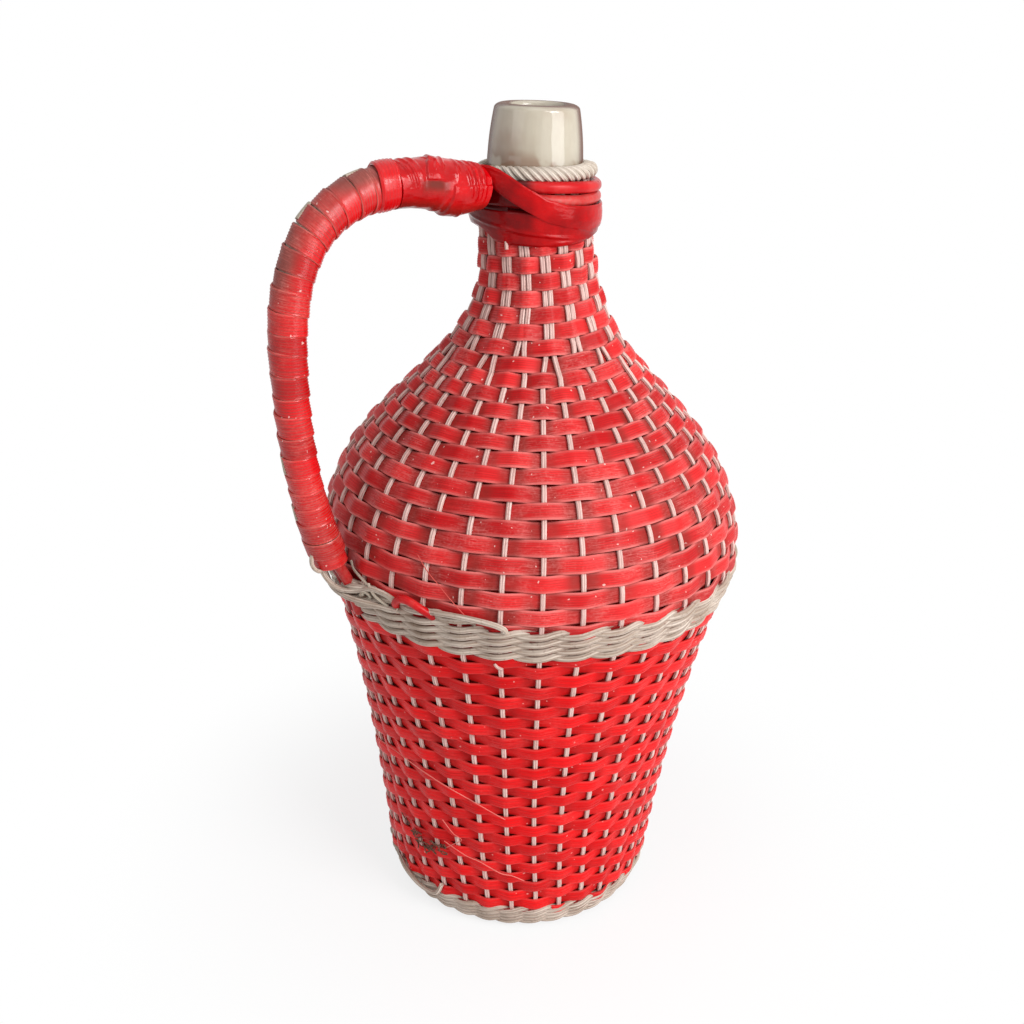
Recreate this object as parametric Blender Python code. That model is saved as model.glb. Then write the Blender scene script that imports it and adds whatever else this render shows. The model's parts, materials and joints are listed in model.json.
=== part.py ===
"""A five-litre demijohn: a glass bottle in a cover woven round upright stakes, with a bound handle.

Metres, +Z up. The bottle's axis is Z, the floor is z = 0 and the handle is on the -X side.
"""
import math

import bmesh
import bpy
from mathutils import Vector

# Clearance between pieces that touch
GAP = 0.0003

# Heights of the cover, from the floor up
FLOOR_THICKNESS = 0.0035
STAKE_FOOT_Z = 0.0024
FOOT_BAND_HEIGHT = 0.0101
BASKET_HEIGHT = 0.1595
WAIST_BAND_HEIGHT = 0.0160
DOME_HEIGHT = 0.1360
STAKE_NECK_HEIGHT = 0.0325

# Radii of the line that the stakes follow
FOOT_LOW_RADIUS = 0.0634
FOOT_RADIUS = 0.0671
BASKET_BEND_RADIUS = 0.0775
BASKET_BEND_HEIGHT = 0.1033
SHOULDER_RADIUS = 0.0975
WAIST_INSET = 0.0042
SHOULDER_FULLNESS = 0.0610
NECK_RADIUS = 0.0226
NECK_SWEEP = 0.0563

# Stakes: pairs of two-ribbed strips that lie together at the neck and part on the shoulder
STAKE_PAIRS = 18
STAKE_WIDTH = 0.0019
STAKE_THICKNESS = 0.0008
PAIR_GAP = 0.0004
PAIR_ROWS = 8
BASKET_STATIONS = 2
DOME_STATIONS = 7

# Weavers: two strips climb each zone side by side, one over the odd stakes, one over the even
STRIP_THICKNESS = 0.0009
ROW_GAP = 0.0006
STRIP_TIP = 0.0012
BASKET_ROWS = 26
DOME_ROWS = 23
DOME_TOP_ABOVE_NECK = 0.0064

# Bands of white cord at the foot and the waist
CORD_THICKNESS = 0.0015
CORD_GAP = 0.0005
FOOT_ROWS = 3
WAIST_ROWS = 5

# Glass bottle
GLASS_WALL = 0.0030
GLASS_SEGMENTS = 24
RING_SEGMENTS = 20
HEEL_RADIUS = 0.0120
PUNT_HEIGHT = 0.0110
PUNT_RIM = 0.0150
PUNT_SHARE = 0.6
COLLAR_HEIGHT = 0.0230
COLLAR_TOP_RADIUS = 0.0179
COLLAR_ROUNDING = 0.0030
LIP_LAND = 0.0020
MOUTH_RADIUS = 0.0120
NECK_WALL = 0.0055

# Plaited border on top of the stakes
BORDER_WIDTH = 0.0068
BORDER_HEIGHT = 0.0052
BORDER_SIDES = 6

# Cord, strap and tape round the neck
NECK_CORD_DIAMETER = 0.0045
NECK_CORD_LOOPS = 2
NECK_CORD_GAP = 0.0005
TAPE_HEIGHT = 0.0140
TAPE_THICKNESS = 0.0019
STRAP_WIDTH = 0.0115
STRAP_THICKNESS = 0.0011
STRAP_START_ANGLE = 176.0
STRAP_SWEEP = 168.0
STRAP_FALL = 0.0115

# Handle: a core that bends over from the neck, and two rods that reach the waist
HANDLE_REACH = 0.1240
HANDLE_BELOW_STAKE_TOP = 0.0042
HANDLE_WIDEST_BELOW_TOP = 0.0583
HANDLE_CROWN_RUN = 0.0620
HANDLE_CROWN_RISE = 0.0112
HANDLE_SHOULDER_RUN = 0.0570
HANDLE_SIDE_RUN = 0.0450
HANDLE_FOOT_RUN = 0.0275
HANDLE_FOOT_LEAN = 0.0060
HANDLE_FOOT_ABOVE_WAIST = 0.0085
CORE_DIAMETER = 0.0145
CORE_END_ABOVE_DOME = 0.0185
ROD_DIAMETER = 0.0062
ROD_GAP = 0.0006
ROD_TAIL = 0.0060

# Strip wound on the handle, thick at the edge nearer the neck
WINDING_LOOPS = 20
WINDING_POINTS = 8
WINDING_GAP = 0.0008
WINDING_THICKNESS = 0.0015

# Tape over the upper end of the handle
HANDLE_TAPE_LENGTH = 0.0540
HANDLE_TAPE_THICKNESS = 0.0026
HANDLE_TAPE_BULGE = 0.0016
HANDLE_TAPE_FOLDS = 5

# White cords that tie the rods to the waist band
LASHING_DIAMETER = 0.0020
LASHING_COUNT = 2
LASHING_PITCH = 0.0034
LASHING_SQUARENESS = 2.2
LASHING_END_DEPTH = 0.0021

STAKE_COUNT = 2 * STAKE_PAIRS
STAKE_STEP = 2 * math.pi / STAKE_COUNT


def material(name, colour, roughness, alpha=1.0, transmission=0.0):
    """Make a Principled material."""
    made = bpy.data.materials.new(name)
    made.use_nodes = True
    shader = made.node_tree.nodes["Principled BSDF"]
    shader.inputs["Base Color"].default_value = (*colour, 1.0)
    shader.inputs["Roughness"].default_value = roughness
    shader.inputs["Alpha"].default_value = alpha
    shader.inputs["Transmission Weight"].default_value = transmission
    made.diffuse_color = (*colour, alpha)
    return made


def add_mesh(name, bm, finish, smooth_angle=None):
    """Turn a bmesh into an object with its faces pointing out."""
    bmesh.ops.recalc_face_normals(bm, faces=bm.faces)
    mesh = bpy.data.meshes.new(name)
    bm.to_mesh(mesh)
    bm.free()
    mesh.materials.append(finish)
    if smooth_angle is not None:
        mesh.shade_smooth()
        mesh.set_sharp_from_angle(angle=math.radians(smooth_angle))
    piece = bpy.data.objects.new(name, mesh)
    bpy.context.scene.collection.objects.link(piece)
    return piece


def revolve(name, profile, segments, finish, closed=False):
    """Spin a profile of radius and height once round Z."""
    bm = bmesh.new()
    verts = [bm.verts.new((radius, 0, height)) for radius, height in profile]
    edges = [bm.edges.new(pair) for pair in zip(verts, verts[1:])]
    if closed:
        edges.append(bm.edges.new((verts[-1], verts[0])))
    bmesh.ops.spin(bm, geom=verts + edges, cent=(0, 0, 0), axis=(0, 0, 1),
                   angle=2 * math.pi, steps=segments, use_merge=True)
    bmesh.ops.remove_doubles(bm, verts=bm.verts, dist=1e-6)
    return add_mesh(name, bm, finish, 40)


def skin(name, rings, finish, smooth_angle=None):
    """Join rings of points, each with as many points as the last, into one closed strip or bar."""
    bm = bmesh.new()
    rows = [[bm.verts.new(point) for point in ring] for ring in rings]
    count = len(rows[0])
    for low, high in zip(rows, rows[1:]):
        for i in range(count):
            j = (i + 1) % count
            bm.faces.new((low[i], low[j], high[j], high[i]))
    bm.faces.new(rows[0])
    bm.faces.new(rows[-1])
    return add_mesh(name, bm, finish, smooth_angle)


def tube(name, points, diameter, finish, resolution=1):
    """A round bar along points, as a curve with a bevel."""
    curve = bpy.data.curves.new(name, "CURVE")
    curve.dimensions = "3D"
    curve.bevel_depth = diameter / 2
    curve.bevel_resolution = resolution
    curve.use_fill_caps = True
    spline = curve.splines.new("POLY")
    spline.points.add(len(points) - 1)
    for slot, point in zip(spline.points, points):
        slot.co = (*point, 1.0)
    curve.materials.append(finish)
    piece = bpy.data.objects.new(name, curve)
    bpy.context.scene.collection.objects.link(piece)
    return piece


def bezier(points, t):
    """Point on a Bezier curve by repeated halving of its control polygon."""
    while len(points) > 1:
        points = [a.lerp(b, t) for a, b in zip(points, points[1:])]
    return points[0]


def bend_share(share):
    """Share along an S-shaped curve, with the stations closest where it bends most, at its two ends."""
    half = (1 - abs(1 - 2 * share) ** (2 / 3)) / 2
    return half if share < 0.5 else 1 - half


def polar(radius, angle, height):
    """Point at a radius and an angle round Z."""
    return Vector((radius * math.cos(angle), radius * math.sin(angle), height))


class StakeLine:
    """The line that each stake follows, as radius and height, with distances along it."""

    def __init__(self):
        foot_top = STAKE_FOOT_Z + FOOT_BAND_HEIGHT
        waist = foot_top + BASKET_HEIGHT
        dome = waist + WAIST_BAND_HEIGHT
        neck = dome + DOME_HEIGHT
        basket = [Vector((FOOT_RADIUS, foot_top)),
                  Vector((BASKET_BEND_RADIUS, foot_top + BASKET_BEND_HEIGHT)),
                  Vector((SHOULDER_RADIUS - WAIST_INSET, waist))]
        shoulder = [Vector((SHOULDER_RADIUS, dome)),
                    Vector((SHOULDER_RADIUS, dome + SHOULDER_FULLNESS)),
                    Vector((NECK_RADIUS, neck - NECK_SWEEP)),
                    Vector((NECK_RADIUS, neck))]
        self.points = [Vector((FOOT_LOW_RADIUS, STAKE_FOOT_Z))]
        self.points += [bezier(basket, i / BASKET_STATIONS) for i in range(BASKET_STATIONS + 1)]
        self.waist_index = len(self.points) - 1
        self.points += [bezier(shoulder, bend_share(i / DOME_STATIONS)) for i in range(DOME_STATIONS + 1)]
        self.neck_index = len(self.points) - 1
        self.points.append(Vector((NECK_RADIUS, neck + STAKE_NECK_HEIGHT)))
        self.distances = [0.0]
        for a, b in zip(self.points, self.points[1:]):
            self.distances.append(self.distances[-1] + (b - a).length)
        self.normals = [self.normal_at_point(i) for i in range(len(self.points))]
        self.foot_top = self.distances[1]
        self.waist = self.distances[self.waist_index]
        self.dome = self.distances[self.waist_index + 1]
        self.neck = self.distances[self.neck_index]
        self.weave_top = self.neck + DOME_TOP_ABOVE_NECK
        row = (self.weave_top - self.dome) / DOME_ROWS
        wanted = self.weave_top - PAIR_ROWS * row
        stations = range(self.waist_index + 1, self.neck_index)
        self.parted_index = min(stations, key=lambda i: abs(self.distances[i] - wanted))
        self.pairs_from = self.distances[self.parted_index]
        self.dome_z = dome
        self.neck_z = neck
        self.top_z = neck + STAKE_NECK_HEIGHT

    def normal_at_point(self, i):
        """Outward normal at a point, halfway between those of its two runs."""
        before = self.points[max(i, 1)] - self.points[max(i, 1) - 1]
        after = self.points[min(i + 1, len(self.points) - 1)] - self.points[min(i, len(self.points) - 2)]
        along = before.normalized() + after.normalized()
        return Vector((along.y, -along.x)).normalized()

    def at(self, distance, offset):
        """Radius and height at a distance along the line, pushed outward by an offset."""
        i = 1
        while i < len(self.distances) - 1 and self.distances[i] < distance:
            i += 1
        share = (distance - self.distances[i - 1]) / (self.distances[i] - self.distances[i - 1])
        point = self.points[i - 1].lerp(self.points[i], share)
        normal = self.normals[i - 1].lerp(self.normals[i], share).normalized()
        return point + normal * offset

    def distance_at(self, height):
        """Distance along the line at which it reaches a height."""
        i = next(i for i in range(1, len(self.points)) if self.points[i].y >= height)
        a, b = self.points[i - 1], self.points[i]
        share = (height - a.y) / (b.y - a.y)
        return self.distances[i - 1] + (self.distances[i] - self.distances[i - 1]) * share

    def offset_points(self, offset, low, high):
        """Points low to high of the line, pushed outward by an offset."""
        return [self.points[i] + self.normals[i] * offset for i in range(low, high + 1)]


def pair_angle(line, i):
    """Half the angle between a pair's two stakes at a point of the line: side by side above the parting."""
    if i <= line.parted_index:
        return STAKE_STEP / 2
    return (STAKE_WIDTH + PAIR_GAP) / 2 / line.points[i].x


def half_angle(line, distance):
    """Half the angle between a pair's two stakes at a distance along the line."""
    low = max(i for i in range(len(line.distances) - 1) if line.distances[i] <= distance)
    share = (distance - line.distances[low]) / (line.distances[low + 1] - line.distances[low])
    return pair_angle(line, low) + (pair_angle(line, low + 1) - pair_angle(line, low)) * share


def stake_angle(line, index, distance):
    """Angle of one stake at a distance along the line."""
    pair, side = divmod(index % STAKE_COUNT, 2)
    half = half_angle(line, distance)
    return 2 * pair * STAKE_STEP + (half if side else -half)


def weave_reach(thickness, run):
    """How far a strip's middle stands off the stake line, if it has a run's length to pass from side to side."""
    touching = (STAKE_THICKNESS + thickness) / 2 + GAP
    turn = STAKE_WIDTH / 2 * math.tan(STAKE_STEP)
    return (touching + turn) / (1 - STAKE_WIDTH / run)


def between_pairs(radius):
    """Way between two pairs that lie together, on a circle of the cover."""
    return 2 * STAKE_STEP * radius - STAKE_WIDTH - PAIR_GAP


def strip_reach(line, distance):
    """Reach of a strip at a distance along the line: less where the stakes stand further apart."""
    radius = line.at(distance, 0.0).x
    if distance <= line.pairs_from:
        return weave_reach(STRIP_THICKNESS, STAKE_STEP * radius)
    return weave_reach(STRIP_THICKNESS, 2 * (STAKE_STEP - half_angle(line, distance)) * radius)


def neck_reach():
    """Reach of a strip at the neck, where it is greatest."""
    return weave_reach(STRIP_THICKNESS, between_pairs(NECK_RADIUS))


def band_reach():
    """Reach of the cords of the two bands."""
    return weave_reach(CORD_THICKNESS, between_pairs(FOOT_LOW_RADIUS))


def add_stakes(line, finish):
    """The upright stakes, from the floor to the neck."""
    last = len(line.points) - 1
    for index in range(STAKE_COUNT):
        rings = []
        for i in range(last + 1):
            distance = min(line.distances[i], line.distances[last] * (1 - 1e-9))
            angle = stake_angle(line, index, distance)
            across = Vector((-math.sin(angle), math.cos(angle), 0)) * STAKE_WIDTH / 2
            outer = line.points[i] + line.normals[i] * STAKE_THICKNESS / 2
            inner = line.points[i] - line.normals[i] * STAKE_THICKNESS / 2
            face = polar(outer.x, angle, outer.y)
            rings.append([face - across, face + across, polar(inner.x, angle, inner.y)])
        skin(f"stake_{index + 1:02d}", rings, finish)


def add_weaver(name, line, zone, rows, gap, thickness, second, finish):
    """One of a zone's two strips: it climbs two rows a turn and passes in and out of the stakes."""
    start, end = zone
    pitch = (end - start) / rows
    half_turn = STAKE_COUNT // 2
    rings = []
    for step in range(half_turn * (rows + 1)):
        high = start + pitch * step / half_turn
        low = max(high - pitch + gap, start + gap / 2)
        high = min(high, end - gap / 2)
        if high - low < STRIP_TIP:
            continue
        stake = (step + (half_turn if second else 0)) % STAKE_COUNT
        middle = (low + high) / 2
        group = stake // 2 if middle > line.pairs_from else stake
        side = 1 if (group % 2 == 0) != second else -1
        angle = stake_angle(line, stake, middle)
        reach = strip_reach(line, middle) if thickness == STRIP_THICKNESS else band_reach()
        face_low = line.at(low, side * reach + thickness / 2)
        face_high = line.at(high, side * reach + thickness / 2)
        back = line.at(middle, side * reach - thickness / 2)
        rings.append([polar(p.x, angle, p.y) for p in (face_low, face_high, back)])
    skin(name, rings, finish)


def add_cover(line, red, dome_red, cord_white, stake_white):
    """Stakes, the strips of both woven zones, and the cords of the two bands."""
    add_stakes(line, stake_white)
    strip = (ROW_GAP, STRIP_THICKNESS)
    cord = (CORD_GAP, CORD_THICKNESS)
    zones = (
        ("foot_cord", (0.0, line.foot_top), FOOT_ROWS, cord, cord_white),
        ("basket_strip", (line.foot_top, line.waist), BASKET_ROWS, strip, red),
        ("waist_cord", (line.waist, line.dome), WAIST_ROWS, cord, cord_white),
        ("dome_strip", (line.dome, line.weave_top), DOME_ROWS, strip, dome_red),
    )
    for name, zone, rows, (gap, thickness), finish in zones:
        for second, suffix in ((False, "a"), (True, "b")):
            add_weaver(f"{name}_{suffix}", line, zone, rows, gap, thickness, second, finish)


def add_bottle(line, finish):
    """Glass bottle: punt, heel, belly inside the cover, neck, collar and rounded lip."""
    standoff = neck_reach() + STRIP_THICKNESS / 2 + 2 * GAP
    band_standoff = band_reach() + CORD_THICKNESS / 2 + 2 * GAP
    base = FLOOR_THICKNESS + GAP
    side = line.offset_points(-standoff, 1, line.neck_index)
    for i in (0, line.waist_index - 1, line.waist_index):
        side[i] = line.points[i + 1] - line.normals[i + 1] * band_standoff
    heel_end = line.at(line.distance_at(base + HEEL_RADIUS), -band_standoff)
    side = [heel_end] + [point for point in side if point.y > heel_end.y + HEEL_RADIUS]
    heel = [Vector((heel_end.x - HEEL_RADIUS, base)), Vector((heel_end.x - HEEL_RADIUS / 4, base)), heel_end]
    outer = [Vector((0, base + PUNT_HEIGHT)),
             Vector((heel[0].x - PUNT_RIM, base + PUNT_HEIGHT * PUNT_SHARE))]
    outer += [bezier(heel, i / 3) for i in range(3)] + side
    neck_outer = line.points[line.neck_index].x - standoff
    border_top = line.top_z + GAP + BORDER_HEIGHT
    top = border_top + COLLAR_HEIGHT
    outer += [Vector((neck_outer, border_top)),
              Vector((COLLAR_TOP_RADIUS + COLLAR_ROUNDING / 8, top - COLLAR_ROUNDING)),
              Vector((COLLAR_TOP_RADIUS - COLLAR_ROUNDING / 3, top - COLLAR_ROUNDING / 3)),
              Vector((MOUTH_RADIUS + LIP_LAND, top))]
    mouth = [Vector((MOUTH_RADIUS + LIP_LAND / 4, top)), Vector((MOUTH_RADIUS, top - COLLAR_ROUNDING / 2)),
             Vector((MOUTH_RADIUS, border_top)), Vector((neck_outer - NECK_WALL, line.neck_z - NECK_WALL))]
    inside = [Vector((point.x - GLASS_WALL, point.y)) for point in reversed(side[:-1])]
    floor_z = base + GLASS_WALL
    inner_heel = [inside[-1], Vector((inside[-1].x, floor_z)), Vector((heel[0].x, floor_z))]
    inside += [bezier(inner_heel, i / 2) for i in range(1, 3)]
    inside += [Vector((heel[0].x - PUNT_RIM, floor_z + PUNT_HEIGHT * PUNT_SHARE)),
               Vector((0, floor_z + PUNT_HEIGHT))]
    profile = outer + mouth + inside
    return revolve("glass_bottle", profile, GLASS_SEGMENTS, finish)


def add_floor(line, finish):
    """Disc that closes the cover underneath and carries the bottle."""
    reach = band_reach() + CORD_THICKNESS / 2
    radius = FOOT_LOW_RADIUS - reach - 2 * GAP
    chamfer = FLOOR_THICKNESS / 4
    profile = [Vector((0, 0)), Vector((radius - chamfer, 0)), Vector((radius, chamfer)),
               Vector((radius, FLOOR_THICKNESS)), Vector((0, FLOOR_THICKNESS))]
    return revolve("basket_floor", profile, RING_SEGMENTS, finish)


def add_border(line, finish):
    """Plaited ring that closes the top of the stakes round the glass."""
    centre_r = line.points[line.neck_index].x - STAKE_THICKNESS + (BORDER_WIDTH / 2 - STAKE_WIDTH)
    centre_z = line.top_z + GAP + BORDER_HEIGHT / 2
    profile = []
    for i in range(BORDER_SIDES):
        turn = 2 * math.pi * i / BORDER_SIDES
        profile.append((centre_r + BORDER_WIDTH / 2 * math.cos(turn),
                        centre_z + BORDER_HEIGHT / 2 * math.sin(turn)))
    return revolve("neck_border", profile, RING_SEGMENTS, finish, closed=True)


def neck_cord_radius():
    """Radius of the middle of the cord wound round the neck."""
    return NECK_RADIUS + STAKE_THICKNESS / 2 + GAP + NECK_CORD_DIAMETER / 2 + STAKE_THICKNESS


def add_neck_cord(line, finish):
    """Round cord wound twice about the neck, its ends turned out towards the handle."""
    pitch = NECK_CORD_DIAMETER + NECK_CORD_GAP
    radius = neck_cord_radius()
    first_z = line.top_z - NECK_CORD_DIAMETER / 2
    per_loop = 20
    points = []
    for i in range(per_loop * NECK_CORD_LOOPS + 1):
        angle = math.pi + 2 * math.pi * i / per_loop
        points.append(polar(radius, angle, first_z - pitch * i / per_loop))
    tail = Vector((0, -NECK_CORD_DIAMETER, 0))
    points = [points[0] - tail] + points + [points[-1] + tail]
    print(f"neck cord: least gap to itself {least_gap(points, NECK_CORD_DIAMETER, per_loop) * 1000:.2f} mm")
    return tube("neck_cord", points, NECK_CORD_DIAMETER, finish)


def least_gap(points, diameter, per_loop):
    """Least distance between points half a loop or more apart, less the diameter."""
    apart = per_loop // 2
    return min((a - b).length for i, a in enumerate(points) for b in points[i + apart:]) - diameter


def add_neck_tape(line, finish):
    """Tape wound round the neck under the cord, over the last rows of the weave."""
    top = line.top_z - (NECK_CORD_LOOPS + 1) * (NECK_CORD_DIAMETER + NECK_CORD_GAP) + NECK_CORD_GAP - GAP
    low = top - TAPE_HEIGHT
    inner = neck_reach() + STRIP_THICKNESS / 2 + 2 * GAP
    folds = ((0.0, 0.5), (0.25, 1.0), (0.5, 0.7), (0.75, 1.0), (1.0, 0.7))
    distances = [line.distance_at(low + TAPE_HEIGHT * share) for share, _ in folds]
    outside = [line.at(d, inner + TAPE_THICKNESS * full) for d, (_, full) in zip(distances, folds)]
    inside = [line.at(d, inner) for d in distances[::-2]]
    return revolve("neck_tape", outside + inside, RING_SEGMENTS, finish, closed=True)


def strap_radius():
    """Inner radius of the strap over the neck cord."""
    return neck_cord_radius() + NECK_CORD_DIAMETER / 2 + GAP


def add_strap(line, finish):
    """Flat strap from the top of the handle, down across the neck cord to the tape."""
    inner = strap_radius()
    high = line.top_z + GAP - STRAP_WIDTH / 2
    steps = 12
    rings = []
    for i in range(steps + 1):
        share = i / steps
        angle = math.radians(STRAP_START_ANGLE + STRAP_SWEEP * share)
        middle = high - STRAP_FALL * (0.5 - 0.5 * math.cos(math.pi * share))
        rings.append([polar(r, angle, middle + s * STRAP_WIDTH / 2)
                      for r, s in ((inner, -1), (inner + STRAP_THICKNESS, -1),
                                   (inner + STRAP_THICKNESS, 1), (inner, 1))])
    return skin("neck_strap", rings, finish, 60)


class HandleLine:
    """Centre line of the handle, from the neck to the waist, in the plane y = 0."""

    def __init__(self, line):
        top_z = line.top_z - HANDLE_BELOW_STAKE_TOP
        strap_above = HANDLE_BELOW_STAKE_TOP + GAP
        start = strap_radius() + STRAP_THICKNESS + GAP + strap_above * HANDLE_CROWN_RISE / HANDLE_CROWN_RUN
        wide_z = top_z - HANDLE_WIDEST_BELOW_TOP
        foot_z = line.points[line.waist_index].y + HANDLE_FOOT_ABOVE_WAIST
        cover = line.points[line.waist_index + 1].x
        reach = band_reach() + CORD_THICKNESS / 2
        foot_r = cover + reach + ROD_DIAMETER / 2 + 2 * GAP
        self.crown = [Vector((start, top_z)), Vector((start + HANDLE_CROWN_RUN, top_z + HANDLE_CROWN_RISE)),
                      Vector((HANDLE_REACH, wide_z + HANDLE_SHOULDER_RUN)), Vector((HANDLE_REACH, wide_z))]
        self.side = [Vector((HANDLE_REACH, wide_z)), Vector((HANDLE_REACH, wide_z - HANDLE_SIDE_RUN)),
                     Vector((foot_r + HANDLE_FOOT_LEAN, foot_z + HANDLE_FOOT_RUN)), Vector((foot_r, foot_z))]
        fine = [bezier(self.crown, i / 60) for i in range(60)]
        fine += [bezier(self.side, i / 60) for i in range(61)]
        self.fine = fine
        self.distances = [0.0]
        for a, b in zip(fine, fine[1:]):
            self.distances.append(self.distances[-1] + (b - a).length)
        self.length = self.distances[-1]
        end_z = line.dome_z + CORE_END_ABOVE_DOME
        self.core_end = next(d for p, d in zip(fine, self.distances) if p.y < end_z and d > self.length / 2)

    def at(self, distance):
        """Point in space, and the unit vector square to the line that points away from the bottle."""
        i = 1
        while i < len(self.distances) - 1 and self.distances[i] < distance:
            i += 1
        a, b = self.fine[i - 1], self.fine[i]
        share = (distance - self.distances[i - 1]) / (self.distances[i] - self.distances[i - 1])
        point = a.lerp(b, share)
        along = (b - a).normalized()
        return Vector((-point.x, 0, point.y)), Vector((along.y, 0, along.x))

    def ring(self, distance, radius, sides):
        """Circle of points round the line."""
        centre, away = self.at(distance)
        return [centre + (away * math.cos(t) + Vector((0, math.sin(t), 0))) * radius
                for t in (2 * math.pi * i / sides for i in range(sides))]


def add_core(handle, finish):
    """Core of the handle, inside the winding and the tape."""
    steps = 13
    rings = [handle.ring(handle.core_end * i / steps, CORE_DIAMETER / 2, 6) for i in range(steps + 1)]
    return skin("handle_core", rings, finish, 60)


def add_rods(handle, finish):
    """Two rods that leave the core side by side and lie against the waist band."""
    start = handle.core_end + GAP
    steps = 6
    for name, side in (("handle_rod_front", -1), ("handle_rod_back", 1)):
        shift = Vector((0, side * (ROD_DIAMETER + ROD_GAP) / 2, 0))
        points = [handle.at(start + (handle.length - start) * i / steps)[0] + shift for i in range(steps + 1)]
        points.append(points[-1] + Vector((0, 0, -ROD_TAIL)))
        tube(name, points, ROD_DIAMETER, finish)


def add_winding(handle, finish):
    """Flat strip wound down the handle, each turn thick at the edge nearer the neck."""
    start = HANDLE_TAPE_LENGTH + GAP
    pitch = (handle.core_end - start) / (WINDING_LOOPS + 1)
    width = pitch - WINDING_GAP
    inner = CORE_DIAMETER / 2 + GAP
    rings = []
    for i in range(WINDING_LOOPS * WINDING_POINTS + 1):
        turn = 2 * math.pi * i / WINDING_POINTS
        near = start + pitch * i / WINDING_POINTS
        ring = []
        for distance, radius in ((near, inner), (near, inner + WINDING_THICKNESS), (near + width, inner)):
            centre, away = handle.at(distance)
            radius = radius / math.cos(math.pi / WINDING_POINTS)
            ring.append(centre + (away * math.cos(turn) + Vector((0, math.sin(turn), 0))) * radius)
        rings.append(ring)
    apart = WINDING_POINTS
    least = min((rings[i][2] - rings[i + apart][k]).length for i in range(len(rings) - apart) for k in (0, 1))
    print(f"handle winding: {WINDING_LOOPS} loops, least gap to itself {least * 1000:.2f} mm")
    return skin("handle_winding", rings, finish)


def add_handle_tape(handle, finish):
    """Sleeve of tape over the core next to the neck, with folds."""
    sides = 10
    steps = 8
    bore = CORE_DIAMETER / 2 + GAP
    bm = bmesh.new()
    outer, inner = [], []
    for i in range(steps + 1):
        distance = HANDLE_TAPE_LENGTH * i / steps
        fold = HANDLE_TAPE_BULGE * abs(math.sin(math.pi * HANDLE_TAPE_FOLDS * i / steps))
        skin_radius = bore + HANDLE_TAPE_THICKNESS + fold
        bore_radius = bore / math.cos(math.pi / sides)
        outer.append([bm.verts.new(p) for p in handle.ring(distance, skin_radius, sides)])
        inner.append([bm.verts.new(p) for p in handle.ring(distance, bore_radius, sides)])
    for rows in (outer, inner):
        for low, high in zip(rows, rows[1:]):
            for k in range(sides):
                bm.faces.new((low[k], low[(k + 1) % sides], high[(k + 1) % sides], high[k]))
    for end in (0, -1):
        for k in range(sides):
            j = (k + 1) % sides
            bm.faces.new((outer[end][k], outer[end][j], inner[end][j], inner[end][k]))
    return add_mesh("handle_tape", bm, finish, 50)


def add_lashing(handle, finish):
    """White cords laid over the two rods where they meet the waist band."""
    width = ROD_DIAMETER + ROD_GAP / 2 + LASHING_DIAMETER / 2 + GAP
    front = ROD_DIAMETER / 2 + LASHING_DIAMETER / 2 + GAP
    lowest = handle.length + LASHING_PITCH / 2 - LASHING_DIAMETER
    steps = 7
    for index in range(LASHING_COUNT):
        centre, away = handle.at(lowest - index * LASHING_PITCH)
        points = []
        for i in range(steps + 1):
            turn = math.pi * i / steps
            across = -width * math.cos(turn)
            over = min(1.0, LASHING_SQUARENESS * math.sin(turn))
            lift = front * over - LASHING_END_DEPTH * (1 - over)
            points.append(centre + Vector((0, across, 0)) + away * lift)
        tube(f"rod_lashing_{index + 1}", points, LASHING_DIAMETER, finish, 0)


def main():
    """Clear the scene and build every piece."""
    for item in list(bpy.data.objects):
        bpy.data.objects.remove(item, do_unlink=True)
    glass = material("glass", (0.72, 0.74, 0.68), 0.05, 0.35, 0.9)
    basket_red = material("basket_red", (0.55, 0.02, 0.02), 0.3)
    dome_red = material("dome_red", (0.50, 0.05, 0.05), 0.45)
    stake_white = material("stake_white", (0.66, 0.60, 0.56), 0.5)
    cord_white = material("cord_white", (0.70, 0.68, 0.62), 0.5)
    rod_red = material("rod_red", (0.52, 0.03, 0.03), 0.35)
    tape_red = material("tape_red", (0.60, 0.01, 0.02), 0.2)
    winding_red = material("winding_red", (0.55, 0.06, 0.06), 0.4)
    core_grey = material("core_grey", (0.55, 0.52, 0.47), 0.6)
    line = StakeLine()
    add_cover(line, basket_red, dome_red, cord_white, stake_white)
    add_bottle(line, glass)
    add_floor(line, basket_red)
    add_border(line, cord_white)
    add_neck_cord(line, rod_red)
    add_neck_tape(line, tape_red)
    add_strap(line, tape_red)
    handle = HandleLine(line)
    add_core(handle, core_grey)
    add_rods(handle, rod_red)
    add_winding(handle, winding_red)
    add_handle_tape(handle, tape_red)
    add_lashing(handle, cord_white)


main()
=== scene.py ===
import bisect
import json
import logging
import math
import random
from dataclasses import dataclass, field
from enum import Enum

import bpy
from mathutils import Matrix, Vector, noise

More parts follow.
